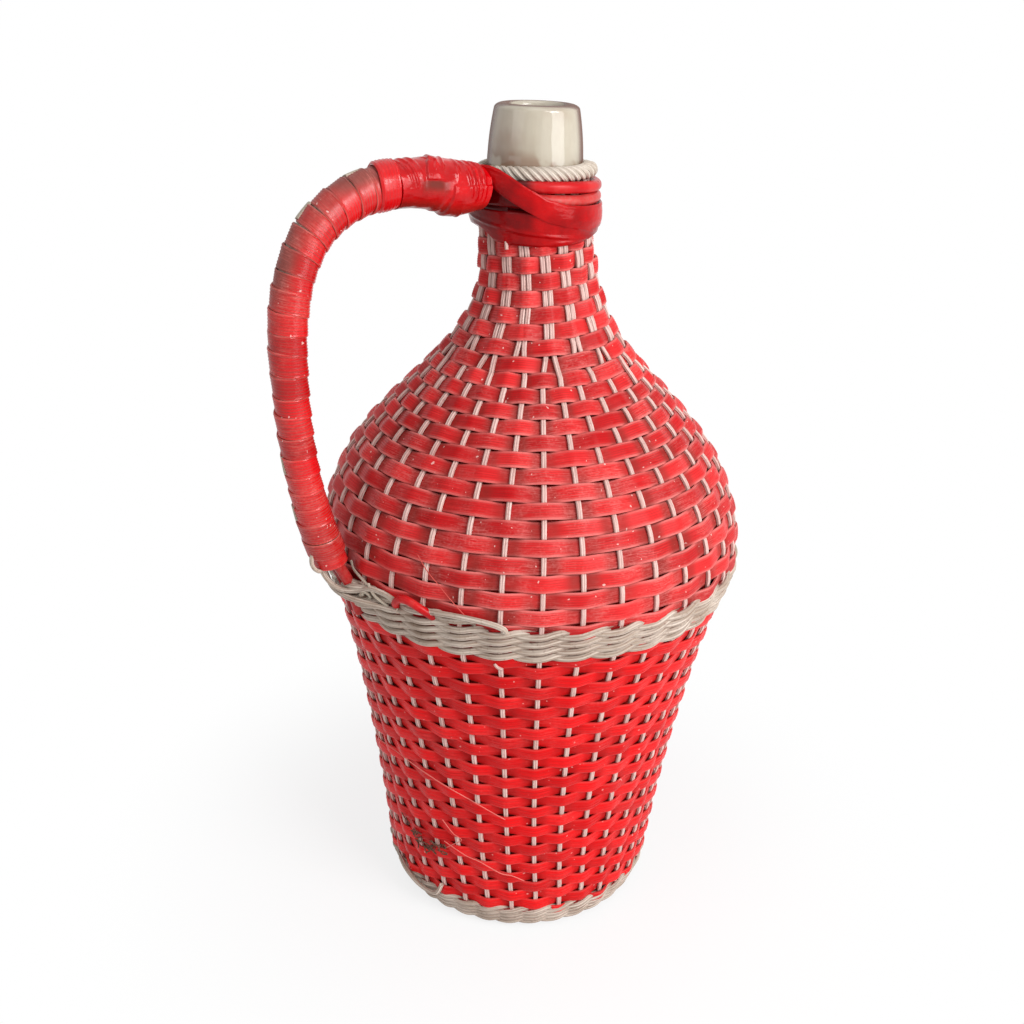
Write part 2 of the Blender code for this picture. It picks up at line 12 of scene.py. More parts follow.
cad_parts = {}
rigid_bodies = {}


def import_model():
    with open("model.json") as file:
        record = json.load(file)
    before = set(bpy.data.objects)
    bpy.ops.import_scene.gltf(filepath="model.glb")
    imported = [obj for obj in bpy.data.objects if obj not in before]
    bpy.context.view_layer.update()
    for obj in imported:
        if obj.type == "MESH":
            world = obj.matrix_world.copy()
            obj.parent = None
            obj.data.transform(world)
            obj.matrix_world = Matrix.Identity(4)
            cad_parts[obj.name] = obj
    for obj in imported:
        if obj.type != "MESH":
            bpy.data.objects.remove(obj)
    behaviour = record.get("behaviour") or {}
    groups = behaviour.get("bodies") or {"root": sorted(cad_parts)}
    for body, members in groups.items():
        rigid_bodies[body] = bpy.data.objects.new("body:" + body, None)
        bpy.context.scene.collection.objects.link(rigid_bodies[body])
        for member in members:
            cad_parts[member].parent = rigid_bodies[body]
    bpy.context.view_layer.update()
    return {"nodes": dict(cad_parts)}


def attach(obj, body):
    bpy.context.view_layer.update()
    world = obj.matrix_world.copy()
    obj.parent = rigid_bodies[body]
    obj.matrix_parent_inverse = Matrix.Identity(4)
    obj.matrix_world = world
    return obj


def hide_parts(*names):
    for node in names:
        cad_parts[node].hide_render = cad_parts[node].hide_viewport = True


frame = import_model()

log = logging.getLogger("demijohn")

BODY = "root"
STAKES = 36
HALF_TURN = STAKES // 2
STEP = 2 * math.pi / STAKES
BASKET_ROWS = 26
DOME_ROWS = 23
# rows under the neck where the stakes lie in pairs, and rows over which they part
PAIR_ROWS = 6
PARTING_ROWS = 2

Socket = bpy.types.NodeSocket
Colour = tuple[float, float, float, float]


def paint(red: int, green: int, blue: int) -> Colour:
    """Linear colour of an sRGB one.

    Args:
        red: Red, 0 to 255.
        green: Green, 0 to 255.
        blue: Blue, 0 to 255.

    Returns:
        The linear colour with full alpha.
    """
    def linear(channel: int) -> float:
        """One channel, made linear."""
        share = channel / 255
        return share / 12.92 if share <= 0.04045 else ((share + 0.055) / 1.055) ** 2.4
    return linear(red), linear(green), linear(blue), 1.0


def polar(radius: float, angle: float, height: float) -> Vector:
    """Point at a radius, an angle and a height, round the bottle's axis."""
    return Vector((radius * math.cos(angle), radius * math.sin(angle), height))


def clamp(share: float) -> float:
    """The nearest number from 0 to 1."""
    return min(max(share, 0.0), 1.0)


def ease(share: float) -> float:
    """Share from 0 to 1, clamped and smoothed."""
    share = clamp(share)
    return share * share * (3 - 2 * share)


def hump(value: float, middle: float, width: float) -> float:
    """Smooth hump of height 1 about a middle."""
    return math.exp(-((value - middle) / width) ** 2)


def spread(first: float, last: float, steps: int) -> list[float]:
    """Numbers from the first to the last in even steps."""
    return [first + (last - first) * i / steps for i in range(steps + 1)]


def turn_angles(count: int) -> list[float]:
    """Even angles of one full turn."""
    return [2 * math.pi * i / count for i in range(count)]


def level_outward(points: list[Vector]) -> list[Vector]:
    """Level directions away from the axis, one for each point."""
    return [Vector((p.x, p.y, 0.0)).normalized() for p in points]


def bezier(points: list[Vector], share: float) -> Vector:
    """Point on a Bezier curve.

    Args:
        points: Its control points.
        share: How far along, 0 to 1.

    Returns:
        The point.
    """
    while len(points) > 1:
        points = [a.lerp(b, share) for a, b in zip(points, points[1:])]
    return points[0]


LEAN = Vector((-0.0031, 0.0026, 0.0))
LEAN_FROM = 0.300
LEAN_OVER = 0.050


def leant(point: Vector) -> Vector:
    """The point moved with the neck, which leans a little to one side."""
    return point + LEAN * ease((point.z - LEAN_FROM) / LEAN_OVER)


def between(table: tuple[tuple[float, ...], ...], value: float) -> tuple[float, ...]:
    """Numbers at a value, from rows that begin with their own value.

    Args:
        table: The rows, lowest value first.
        value: Where to read.

    Returns:
        The rest of the row, mixed from the two beside the value.
    """
    for low, high in zip(table, table[1:]):
        if value <= high[0]:
            share = clamp((value - low[0]) / (high[0] - low[0]))
            return tuple(a + (b - a) * share for a, b in zip(low[1:], high[1:]))
    return table[-1][1:]


def smooth_between(quad: list[tuple[float, ...]], share: float) -> list[float]:
    """Numbers on a smooth curve from the second to the third of four rows."""
    return [0.5 * (2 * b + (c - a) * share + (2 * a - 5 * b + 4 * c - d) * share ** 2
                   + (3 * b - a - 3 * c + d) * share ** 3) for a, b, c, d in zip(*quad)]


def smooth_through(knots: list[Vector], per_span: int) -> list[Vector]:
    """Points of a smooth curve through knots.

    Args:
        knots: Where it passes.
        per_span: Points from a knot to the next.

    Returns:
        The points, the last knot included.
    """
    points = []
    for i in range(len(knots) - 1):
        quad = [knots[min(max(i + j, 0), len(knots) - 1)] for j in (-1, 0, 1, 2)]
        points += [Vector(smooth_between(quad, j / per_span)) for j in range(per_span)]
    return points + [knots[-1].copy()]


def put_in_scene(name: str, data: bpy.types.ID) -> bpy.types.Object:
    """Make an object and add it to the scene.

    Args:
        name: Its name.
        data: Its mesh, lamp or camera.

    Returns:
        The object.
    """
    piece = bpy.data.objects.new(name, data)
    bpy.context.scene.collection.objects.link(piece)
    return piece


# Node trees

class Nodes:
    """A node tree that is put together call by call."""

    def __init__(self, tree: bpy.types.NodeTree) -> None:
        """Keep the tree to add to."""
        self.tree = tree

    def feed(self, socket: Socket, value: object) -> None:
        """Link an output to a socket, or set the socket's own value.

        Args:
            socket: The input.
            value: An output socket or a constant.
        """
        if isinstance(value, bpy.types.NodeSocket):
            self.tree.links.new(value, socket)
        else:
            socket.default_value = value

    def add(self, kind: str, links: dict[object, object] | None = None,
            **settings: object) -> bpy.types.Node:
        """Add a node.

        Args:
            kind: Its type.
            links: Output sockets or constants, by input name or number.
            settings: Its own properties.

        Returns:
            The node.
        """
        node = self.tree.nodes.new(kind)
        for name, value in settings.items():
            setattr(node, name, value)
        for name, value in (links or {}).items():
            self.feed(node.inputs[name], value)
        return node

    def maths(self, operation: str, first: object, second: object = 0.0) -> Socket:
        """One sum of two sockets or numbers, by the node's name for it."""
        return self.add("ShaderNodeMath", {0: first, 1: second}, operation=operation).outputs[0]

    def plus(self, first: object, second: object) -> Socket:
        """Two sockets or numbers added."""
        return self.maths("ADD", first, second)

    def minus(self, first: object, second: object) -> Socket:
        """One socket or number less another."""
        return self.maths("SUBTRACT", first, second)

    def times(self, first: object, second: object) -> Socket:
        """Two sockets or numbers multiplied."""
        return self.maths("MULTIPLY", first, second)

    def ramp(self, value: object, low: float, high: float, bottom: float = 0.0,
             top: float = 1.0) -> Socket:
        """Spread a value's range from low to high smoothly over that from bottom to top."""
        links = {"Value": value, "From Min": low, "From Max": high, "To Min": bottom, "To Max": top}
        return self.add("ShaderNodeMapRange", links, interpolation_type="SMOOTHSTEP").outputs["Result"]


# Materials

class Recipe(Nodes):
    """A node material that is put together round one Principled shader."""

    def __init__(self, name: str) -> None:
        """Start a material.

        Args:
            name: The material's name.
        """
        self.material = bpy.data.materials.new(name)
        self.material.use_nodes = True
        super().__init__(self.material.node_tree)
        self.shader = self.tree.nodes["Principled BSDF"]
        self.place = self.add("ShaderNodeTexCoord").outputs["Object"]

    def set(self, **values: object) -> None:
        """Feed the shader's inputs, named with underscores for spaces."""
        for name, value in values.items():
            self.feed(self.shader.inputs[name.replace("_", " ")], value)

    def mark(self, name: str) -> Socket:
        """Read a number that the mesh carries at each point."""
        return self.add("ShaderNodeAttribute", attribute_name=name).outputs["Fac"]

    def facing(self) -> Socket:
        """How much the surface turns edge-on, for glass."""
        return self.add("ShaderNodeLayerWeight").outputs["Facing"]

    def height(self) -> Socket:
        """Height on the object."""
        return self.add("ShaderNodeSeparateXYZ", {0: self.place}).outputs[2]

    def blend(self, share: object, first: object, second: object) -> Socket:
        """Mix two colours.

        Args:
            share: How much of the second.
            first: A colour or socket.
            second: A colour or socket.

        Returns:
            The mixed colour.
        """
        node = self.add("ShaderNodeMix", data_type="RGBA")
        for socket, value in zip([s for s in node.inputs if s.enabled], (share, first, second)):
            self.feed(socket, value)
        return next(s for s in node.outputs if s.enabled)

    def _noise(self, place: Socket, scale: float, detail: float) -> Socket:
        """Noise at a place, a number about 0.5."""
        links = {"Vector": place, "Scale": scale, "Detail": detail}
        return self.add("ShaderNodeTexNoise", links).outputs[0]

    def grain(self, scale: float, detail: float = 3.0,
              stretch: tuple[float, float, float] = (1, 1, 1), shift: float = 0.0) -> Socket:
        """Noise about 0.5 in the object's own space, in waves per metre, stretched and shifted."""
        links = {"Vector": self.place, "Scale": stretch, "Location": (shift, shift, shift)}
        return self._noise(self.add("ShaderNodeMapping", links).outputs["Vector"], scale, detail)

    def streaks(self, lengthwise: float, crosswise: float, detail: float = 2.0) -> Socket:
        """Noise drawn out along a strip or cord, from its own along and across numbers.

        Args:
            lengthwise: Waves per metre along it.
            crosswise: Waves across it.
            detail: Octaves.

        Returns:
            A number about 0.5.
        """
        along = self.times(self.mark("along"), lengthwise)
        across = self.times(self.mark("across"), crosswise)
        spot = self.add("ShaderNodeCombineXYZ", {0: along, 1: across}).outputs[0]
        return self._noise(spot, 1.0, detail)

    def emboss(self, height: object, strength: float, distance: float) -> None:
        """Bump the surface by a height, at a strength and to a depth in metres."""
        links = {"Height": height, "Strength": strength, "Distance": distance}
        self.set(Normal=self.add("ShaderNodeBump", links).outputs[0])


SPECK = paint(238, 216, 206)


@dataclass(frozen=True)
class StripFinish:
    """Glossy ribbed plastic strip: faded edges, dust and painted shade in its hollows and rib valleys,
    specks and streaks.
    """

    name: str
    body: Colour
    deep: Colour
    edge: Colour
    dust: Colour
    edge_share: float
    edge_from: float
    dust_share: float
    gloss: float
    speck_share: float
    specular: float

    def build(self) -> bpy.types.Material:
        """Make the material."""
        mix = Recipe(self.name)
        across = mix.maths("ABSOLUTE", mix.mark("across"))
        cloud = mix.grain(38.0)
        fine = mix.grain(900.0, 2.0, shift=3.0)
        drawn = mix.streaks(45.0, 6.0)
        tone = mix.plus(mix.mark("tone"), mix.times(mix.ramp(drawn, 0.3, 0.7), 0.5))
        colour = mix.blend(mix.ramp(tone, 0.0, 1.4), self.deep, self.body)
        rim = mix.times(mix.ramp(across, self.edge_from, 1.0), mix.ramp(cloud, 0.3, 0.62, 0.45, 1.0))
        colour = mix.blend(mix.times(rim, self.edge_share), colour, self.edge)
        # hollows where the strip passes inside a stake, and rib valleys, take the dust colour: dust and
        # painted shade
        valley = mix.ramp(mix.mark("rib"), 0.6, 0.0, 0.0, 0.6)
        hollow = mix.ramp(mix.mark("lift"), 0.35, -0.65)
        grime_and_shade = mix.times(mix.maths("MAXIMUM", hollow, valley), mix.ramp(cloud, 0.28, 0.66, 0.35, 1.0))
        colour = mix.blend(mix.times(grime_and_shade, self.dust_share), colour, self.dust)
        lines = mix.ramp(mix.streaks(160.0, 14.0), 0.42, 0.7)
        lines = mix.plus(lines, mix.ramp(fine, 0.45, 0.75, 0.0, 0.5))
        veil = mix.times(lines, mix.ramp(mix.grain(60.0, 2.0, shift=7.0), 0.35, 0.7))
        colour = mix.blend(mix.times(veil, self.dust_share * 0.45), colour, self.edge)
        speck = mix.ramp(mix.grain(640.0, 0.0, shift=1.7), 0.82, 0.85)
        colour = mix.blend(mix.times(speck, self.speck_share), colour, SPECK)
        polish = mix.ramp(drawn, 0.3, 0.7, self.gloss - 0.06, self.gloss + 0.08)
        rough = mix.maths("MINIMUM", mix.plus(polish, mix.times(grime_and_shade, 0.3)), 0.9)
        mix.set(Base_Color=colour, Roughness=rough, Specular_IOR_Level=self.specular)
        mix.emboss(mix.plus(mix.streaks(140.0, 16.0, 1.0), mix.times(fine, 0.3)), 0.25, 0.0003)
        return mix.material


@dataclass(frozen=True)
class CordFinish:
    """Pale plastic cord or stake, darker in its hollows and along its ribs, with dirt and painted shade."""

    name: str
    body: Colour
    shade: Colour
    dust: Colour
    dust_share: float
    gloss: float
    specular: float = 0.2

    def build(self) -> bpy.types.Material:
        """Make the material."""
        mix = Recipe(self.name)
        cloud = mix.grain(55.0)
        fine = mix.grain(700.0, 2.0, shift=2.0)
        drawn = mix.streaks(60.0, 3.0)
        colour = mix.blend(mix.ramp(drawn, 0.32, 0.68), self.shade, self.body)
        # hollows and rib valleys take the dust colour: dirt and painted shade
        valley = mix.ramp(mix.mark("rib"), 0.7, 0.0, 0.0, 0.55)
        hollow = mix.ramp(mix.mark("lift"), 0.3, -0.9)
        grime_and_shade = mix.times(mix.maths("MAXIMUM", hollow, valley), mix.ramp(cloud, 0.3, 0.65, 0.4, 1.0))
        grime_and_shade = mix.plus(grime_and_shade, mix.ramp(fine, 0.55, 0.8, 0.0, 0.4))
        grime_and_shade = mix.maths("MINIMUM", mix.times(grime_and_shade, self.dust_share), 1.0)
        colour = mix.blend(grime_and_shade, colour, self.dust)
        rough = mix.ramp(drawn, 0.3, 0.7, self.gloss - 0.05, self.gloss + 0.12)
        mix.set(Base_Color=colour, Roughness=rough, Specular_IOR_Level=self.specular)
        mix.emboss(mix.plus(mix.streaks(160.0, 5.0, 1.0), fine), 0.3, 0.0002)
        return mix.material


@dataclass(frozen=True)
class TapeFinish:
    """Shiny stretched vinyl tape or smooth tube, with scuffs and dust, and a mark that darkens it: painted
    shade, on the sleeve also dust.
    """

    name: str
    body: Colour
    deep: Colour
    dust: Colour
    dust_share: float
    gloss: float
    crinkle: float
    specular: float
    # colour that the grime mark darkens towards: painted shade, and on the sleeve a dusty patch
    dirt_and_shade: Colour = paint(62, 6, 8)

    def build(self) -> bpy.types.Material:
        """Make the material."""
        mix = Recipe(self.name)
        cloud = mix.grain(70.0, 4.0)
        fine = mix.grain(600.0, 3.0, shift=4.0)
        colour = mix.blend(mix.ramp(cloud, 0.3, 0.7), self.deep, self.body)
        low = mix.plus(mix.ramp(mix.mark("lift"), 0.25, -0.7), mix.ramp(cloud, 0.5, 0.72, 0.0, 0.5))
        grime_and_shade = mix.times(low, mix.ramp(fine, 0.4, 0.65, 0.4, 1.0))
        grime_and_shade = mix.maths("MINIMUM", mix.times(grime_and_shade, self.dust_share), 1.0)
        colour = mix.blend(grime_and_shade, colour, self.dust)
        # painted shade, and on the sleeve a dusty patch, where the mesh's grime mark says
        colour = mix.blend(mix.mark("grime_and_shade"), colour, self.dirt_and_shade)
        polish = mix.ramp(cloud, 0.3, 0.7, self.gloss, self.gloss + 0.14)
        rough = mix.plus(polish, mix.ramp(mix.mark("lift"), -1.0, -2.2, 0.0, 0.6))
        mix.set(Base_Color=colour, Roughness=rough, Specular_IOR_Level=self.specular)
        folds = mix.grain(260.0, 3.0, (1, 1, 2.2), 5.0)
        mix.emboss(mix.plus(folds, mix.times(fine, 0.3)), self.crinkle, 0.0008)
        return mix.material


@dataclass(frozen=True)
class GlassFinish:
    """Old milky bottle glass, streaked and stained, with painted brown shade where it turns edge-on."""

    name: str = "milky_glass"
    body: Colour = paint(194, 185, 168)
    streaked: Colour = paint(176, 166, 144)
    stain: Colour = paint(150, 124, 104)
    # colour painted as shade where the glass turns edge-on
    edge: Colour = paint(96, 54, 36)
    stained_from: float = 0.3685
    stained_to: float = 0.3625

    def build(self) -> bpy.types.Material:
        """Make the material."""
        mix = Recipe(self.name)
        streak = mix.grain(90.0, 3.0, (1, 1, 0.12))
        cloud = mix.grain(45.0, 3.0, shift=6.0)
        colour = mix.blend(mix.ramp(cloud, 0.45, 0.75, 0.0, 0.5), self.body, self.stain)
        colour = mix.blend(mix.ramp(streak, 0.4, 0.7, 0.0, 0.35), colour, self.streaked)
        low = mix.ramp(mix.height(), self.stained_from, self.stained_to)
        colour = mix.blend(mix.times(low, mix.ramp(cloud, 0.5, 0.56, 0.1, 0.9)), colour, self.stain)
        # painted shade: brown where the glass turns edge-on, in place of what refraction shows at its edges
        colour = mix.blend(mix.ramp(mix.facing(), 0.46, 0.74, 0.0, 0.95), colour, self.edge)
        polish = mix.ramp(streak, 0.3, 0.7, 0.05, 0.14)
        rough = mix.plus(polish, mix.ramp(mix.facing(), 0.5, 0.9, 0.0, 0.5))
        mix.set(Base_Color=colour, Roughness=rough, IOR=1.5, Transmission_Weight=0.15)
        mix.emboss(mix.plus(streak, mix.grain(220.0, 2.0, (1, 1, 0.3), 2.0)), 0.22, 0.0008)
        return mix.material


# the dark dust colours of the strips also stand for painted shade in their hollows
BASKET_RED = StripFinish("basket_strip_red", paint(226, 16, 20), paint(192, 8, 12), paint(232, 100, 96),
                         paint(110, 14, 12), edge_share=0.4, edge_from=0.7, dust_share=0.5, gloss=0.26,
                         speck_share=0.3, specular=0.09)
DOME_RED = StripFinish("dome_strip_red", paint(212, 40, 42), paint(170, 12, 18), paint(226, 140, 134),
                       paint(120, 42, 36), edge_share=0.6, edge_from=0.5, dust_share=0.75, gloss=0.34,
                       speck_share=0.5, specular=0.1)
# its dark dust colour also paints shade on the binding's outer side
BINDING_RED = StripFinish("binding_red", paint(206, 10, 18), paint(168, 5, 10), paint(206, 116, 106),
                          paint(120, 56, 48), edge_share=0.5, edge_from=0.8, dust_share=0.95, gloss=0.18,
                          speck_share=0.5, specular=0.32)
TURN_RED = StripFinish("sleeve_turn_red", paint(196, 4, 12), paint(172, 3, 9), paint(216, 50, 46),
                       paint(96, 5, 7), edge_share=0.3, edge_from=0.85, dust_share=0.4, gloss=0.16,
                       speck_share=0.2, specular=0.34)
STAKE_WHITE = CordFinish("stake_strip_white", paint(222, 192, 184), paint(190, 150, 142),
                         paint(126, 78, 68), dust_share=0.8, gloss=0.4)
# its dark dust colour also paints the shade in the slits between the cords
BAND_WHITE = CordFinish("band_cord_white", paint(206, 193, 180), paint(164, 146, 130),
                        paint(96, 54, 42), dust_share=0.95, gloss=0.5)
CORE_GREY = CordFinish("core_bare_grey", paint(206, 196, 180), paint(166, 152, 136),
                       paint(120, 98, 84), dust_share=0.7, gloss=0.6)
ROPE_WHITE = CordFinish("rope_border_white", paint(212, 202, 190), paint(180, 168, 154),
                        paint(116, 84, 70), dust_share=0.8, gloss=0.4)
HAIR_RED = CordFinish("loose_hair_red", paint(206, 96, 86), paint(180, 60, 54),
                      paint(150, 60, 50), dust_share=0.3, gloss=0.5)
THREAD_PALE = CordFinish("loose_thread_pale", paint(226, 132, 122), paint(206, 92, 84),
                         paint(196, 120, 108), dust_share=0.4, gloss=0.5)
GRASS_BROWN = CordFinish("dry_grass_brown", paint(128, 96, 80), paint(72, 44, 36),
                         paint(46, 24, 18), dust_share=0.6, gloss=0.8)
TUBE_RED = TapeFinish("tube_red", paint(196, 16, 22), paint(160, 8, 14), paint(176, 96, 88),
                      dust_share=0.6, gloss=0.24, crinkle=0.1, specular=0.18)
TAPE_RED = TapeFinish("sleeve_tape_red", paint(200, 4, 12), paint(160, 2, 7), paint(112, 60, 48),
                      dust_share=0.22, gloss=0.1, crinkle=0.3, specular=0.26, dirt_and_shade=paint(90, 34, 24))
# painted shade and painted red reflection: the glass under the weave is dark red
SHADED_GLASS = TapeFinish("bottle_in_the_shade", paint(176, 30, 24), paint(120, 18, 14),
                          paint(150, 60, 48), dust_share=0.3, gloss=0.5, crinkle=0.1, specular=0.04)
NECK_RED = TapeFinish("neck_tape_red", paint(180, 3, 8), paint(128, 2, 5), paint(170, 60, 54),
                      dust_share=0.12, gloss=0.13, crinkle=0.32, specular=0.15, dirt_and_shade=paint(38, 2, 3))


# Geometry Nodes trees

class Kind(Enum):
    """Form of a swept section."""

    STRIP = "strip"
    CORD = "cord"


class SweepTree(Nodes):
    """A Geometry Nodes tree that sweeps a ribbed section along the paths of a mesh."""

    SIZES = ("Width", "Thickness", "Rib Depth", "Crown", "Rounding")
    BACK_CORNER = 0.94
    EDGE_POWER = 14.0

    def __init__(self, kind: Kind) -> None:
        """Build the tree.

        Args:
            kind: A flat strip or a round cord.
        """
        super().__init__(bpy.data.node_groups.new(f"sweep_{kind.value}", "GeometryNodeTree"))
        self.ids = {}
        self._input("Geometry", "NodeSocketGeometry")
        for name in self.SIZES:
            self._input(name, "NodeSocketFloat")
        self._input("Ribs", "NodeSocketInt")
        self._input("Material", "NodeSocketMaterial")
        self.tree.interface.new_socket("Geometry", in_out="OUTPUT", socket_type="NodeSocketGeometry")
        self.given = self.add("NodeGroupInput").outputs
        self._sweep(self._strip() if kind is Kind.STRIP else self._cord())

    def _input(self, name: str, kind: str) -> None:
        """Add a named input and keep its identifier."""
        socket = self.tree.interface.new_socket(name, in_out="INPUT", socket_type=kind)
        self.ids[name] = socket.identifier

    def _choose(self, condition: Socket, no: object, yes: object) -> Socket:
        """One of two numbers."""
        links = {"Switch": condition, "False": no, "True": yes}
        return self.add("GeometryNodeSwitch", links, input_type="FLOAT").outputs[0]

    def _store(self, geometry: Socket, name: str, value: Socket) -> Socket:
        """Keep a number at each point of a geometry.

        Args:
            geometry: The geometry.
            name: The number's name.
            value: The number.

        Returns:
            The geometry with the number.
        """
        links = {"Geometry": geometry, "Name": name}
        node = self.add("GeometryNodeStoreNamedAttribute", links, data_type="FLOAT", domain="POINT")
        self.feed(next(s for s in node.inputs if s.name == "Value" and s.enabled), value)
        return node.outputs[0]

    def _strip(self) -> Socket:
        """A flat section: a crowned, ribbed face outside and two corners inside."""
        last = self.times(self.given["Ribs"], 2.0)
        index = self.add("GeometryNodeInputIndex").outputs[0]
        line = self.add("GeometryNodeMeshLine", {"Count": self.plus(last, 3.0), "Offset": (0, 0, 0)})
        back = self.maths("GREATER_THAN", index, self.plus(last, 0.5))
        first_back = self.maths("LESS_THAN", index, self.plus(last, 1.5))
        share = self.minus(self.times(self.maths("DIVIDE", index, last), 2.0), 1.0)
        corner = self._choose(first_back, -self.BACK_CORNER, self.BACK_CORNER)
        across = self._choose(back, share, corner)
        rib = self.maths("MODULO", index, 2.0)
        away = self.maths("ABSOLUTE", across)
        hill = self.minus(1.0, self.maths("POWER", away, 2.0))
        edge = self.maths("POWER", away, self.EDGE_POWER)
        face = self.plus(self.times(self.given["Thickness"], 0.5), self.times(self.given["Crown"], hill))
        face = self.plus(face, self.times(self.given["Rib Depth"], rib))
        face = self.minus(face, self.times(self.given["Rounding"], edge))
        rise = self._choose(back, face, self.times(self.given["Thickness"], -0.5))
        side = self.times(self.times(self.given["Width"], 0.5), across)
        place = self.add("ShaderNodeCombineXYZ", {0: rise, 1: side}).outputs[0]
        links = {"Geometry": line.outputs[0], "Position": place}
        shaped = self.add("GeometryNodeSetPosition", links).outputs[0]
        shaped = self._store(shaped, "across", across)
        shaped = self._store(shaped, "rib", self._choose(back, rib, 1.0))
        curve = self.add("GeometryNodeMeshToCurve", {"Mesh": shaped}).outputs[0]
        return self.add("GeometryNodeSetSplineCyclic", {"Geometry": curve, "Cyclic": True}).outputs[0]

    def _cord(self) -> Socket:
        """A round section, with ribs along it."""
        count = self.times(self.given["Ribs"], 2.0)
        index = self.add("GeometryNodeInputIndex").outputs[0]
        radius = self.times(self.given["Width"], 0.5)
        circle = self.add("GeometryNodeMeshCircle", {"Vertices": count, "Radius": radius})
        rib = self.maths("MODULO", index, 2.0)
        place = self.add("GeometryNodeInputPosition").outputs[0]
        grow = self.plus(1.0, self.times(rib, self.maths("DIVIDE", self.given["Rib Depth"], radius)))
        scaled = self.add("ShaderNodeVectorMath", {0: place, "Scale": grow}, operation="SCALE").outputs[0]
        links = {"Geometry": circle.outputs[0], "Position": scaled}
        shaped = self.add("GeometryNodeSetPosition", links).outputs[0]
        turn = self.maths("DIVIDE", index, count)
        shaped = self._store(shaped, "across", self.minus(self.times(turn, 2.0), 1.0))
        shaped = self._store(shaped, "rib", rib)
        return self.add("GeometryNodeMeshToCurve", {"Mesh": shaped}).outputs[0]

    def _sweep(self, profile: Socket) -> None:
        """Carry the section along the path, which gives its facing and its swell.

        Args:
            profile: The section's curve.
        """
        curve = self.add("GeometryNodeMeshToCurve", {"Mesh": self.given["Geometry"]}).outputs[0]
        facing = self.add("GeometryNodeInputNamedAttribute", {"Name": "facing"}, data_type="FLOAT_VECTOR")
        swell = self.add("GeometryNodeInputNamedAttribute", {"Name": "swell"}, data_type="FLOAT")
        laid = self.add("GeometryNodeSetCurveNormal", {"Curve": curve}, mode="FREE")
        self.feed(laid.inputs["Normal"], facing.outputs[0])
        links = {"Curve": laid.outputs[0], "Profile Curve": profile, "Scale": swell.outputs[0],
                 "Fill Caps": True}
        mesh = self.add("GeometryNodeCurveToMesh", links)
        real = self.add("GeometryNodeRealizeInstances", {"Geometry": mesh.outputs[0]})
        links = {"Geometry": real.outputs[0], "Material": self.given["Material"]}
        dressed = self.add("GeometryNodeSetMaterial", links)
        self.add("NodeGroupOutput", {0: dressed.outputs[0]})


@dataclass
class Path:
    """Points that a section follows, with the way it faces and the numbers it carries."""

    points: list[Vector]
    facing: list[Vector]
    marks: dict[str, list[float]] = field(default_factory=dict)
    closed: bool = False

    def squared(self) -> list[Vector]:
        """The facing vectors, made square to the path."""
        last = len(self.points) - 1
        result = []
        for i, face in enumerate(self.facing):
            before = self.points[i - 1] if i or self.closed else self.points[0]
            after = self.points[(i + 1) % (last + 1)] if i < last or self.closed else self.points[last]
            along = (after - before).normalized()
            result.append((face - along * face.dot(along)).normalized())
        return result

    def along(self) -> list[float]:
        """Distance travelled at each point."""
        total, result = 0.0, []
        for i, point in enumerate(self.points):
            total += (point - self.points[i - 1]).length if i else 0.0
            result.append(total)
        return result


@dataclass(frozen=True)
class Section:
    """Sizes of a swept section, in metres."""

    width: float
    thickness: float = 0.0
    ribs: int = 8
    rib_depth: float = 0.0
    crown: float = 0.0
    rounding: float = 0.0

    def inputs(self) -> dict[str, float]:
        """The sizes by the names of the sweep's inputs."""
        return {"Width": self.width, "Thickness": self.thickness, "Rib Depth": self.rib_depth,
                "Crown": self.crown, "Rounding": self.rounding, "Ribs": self.ribs}


def cord_section(diameter: float) -> Section:
    """Section of a finely ribbed cord."""
    return Section(diameter, ribs=7, rib_depth=0.00008)


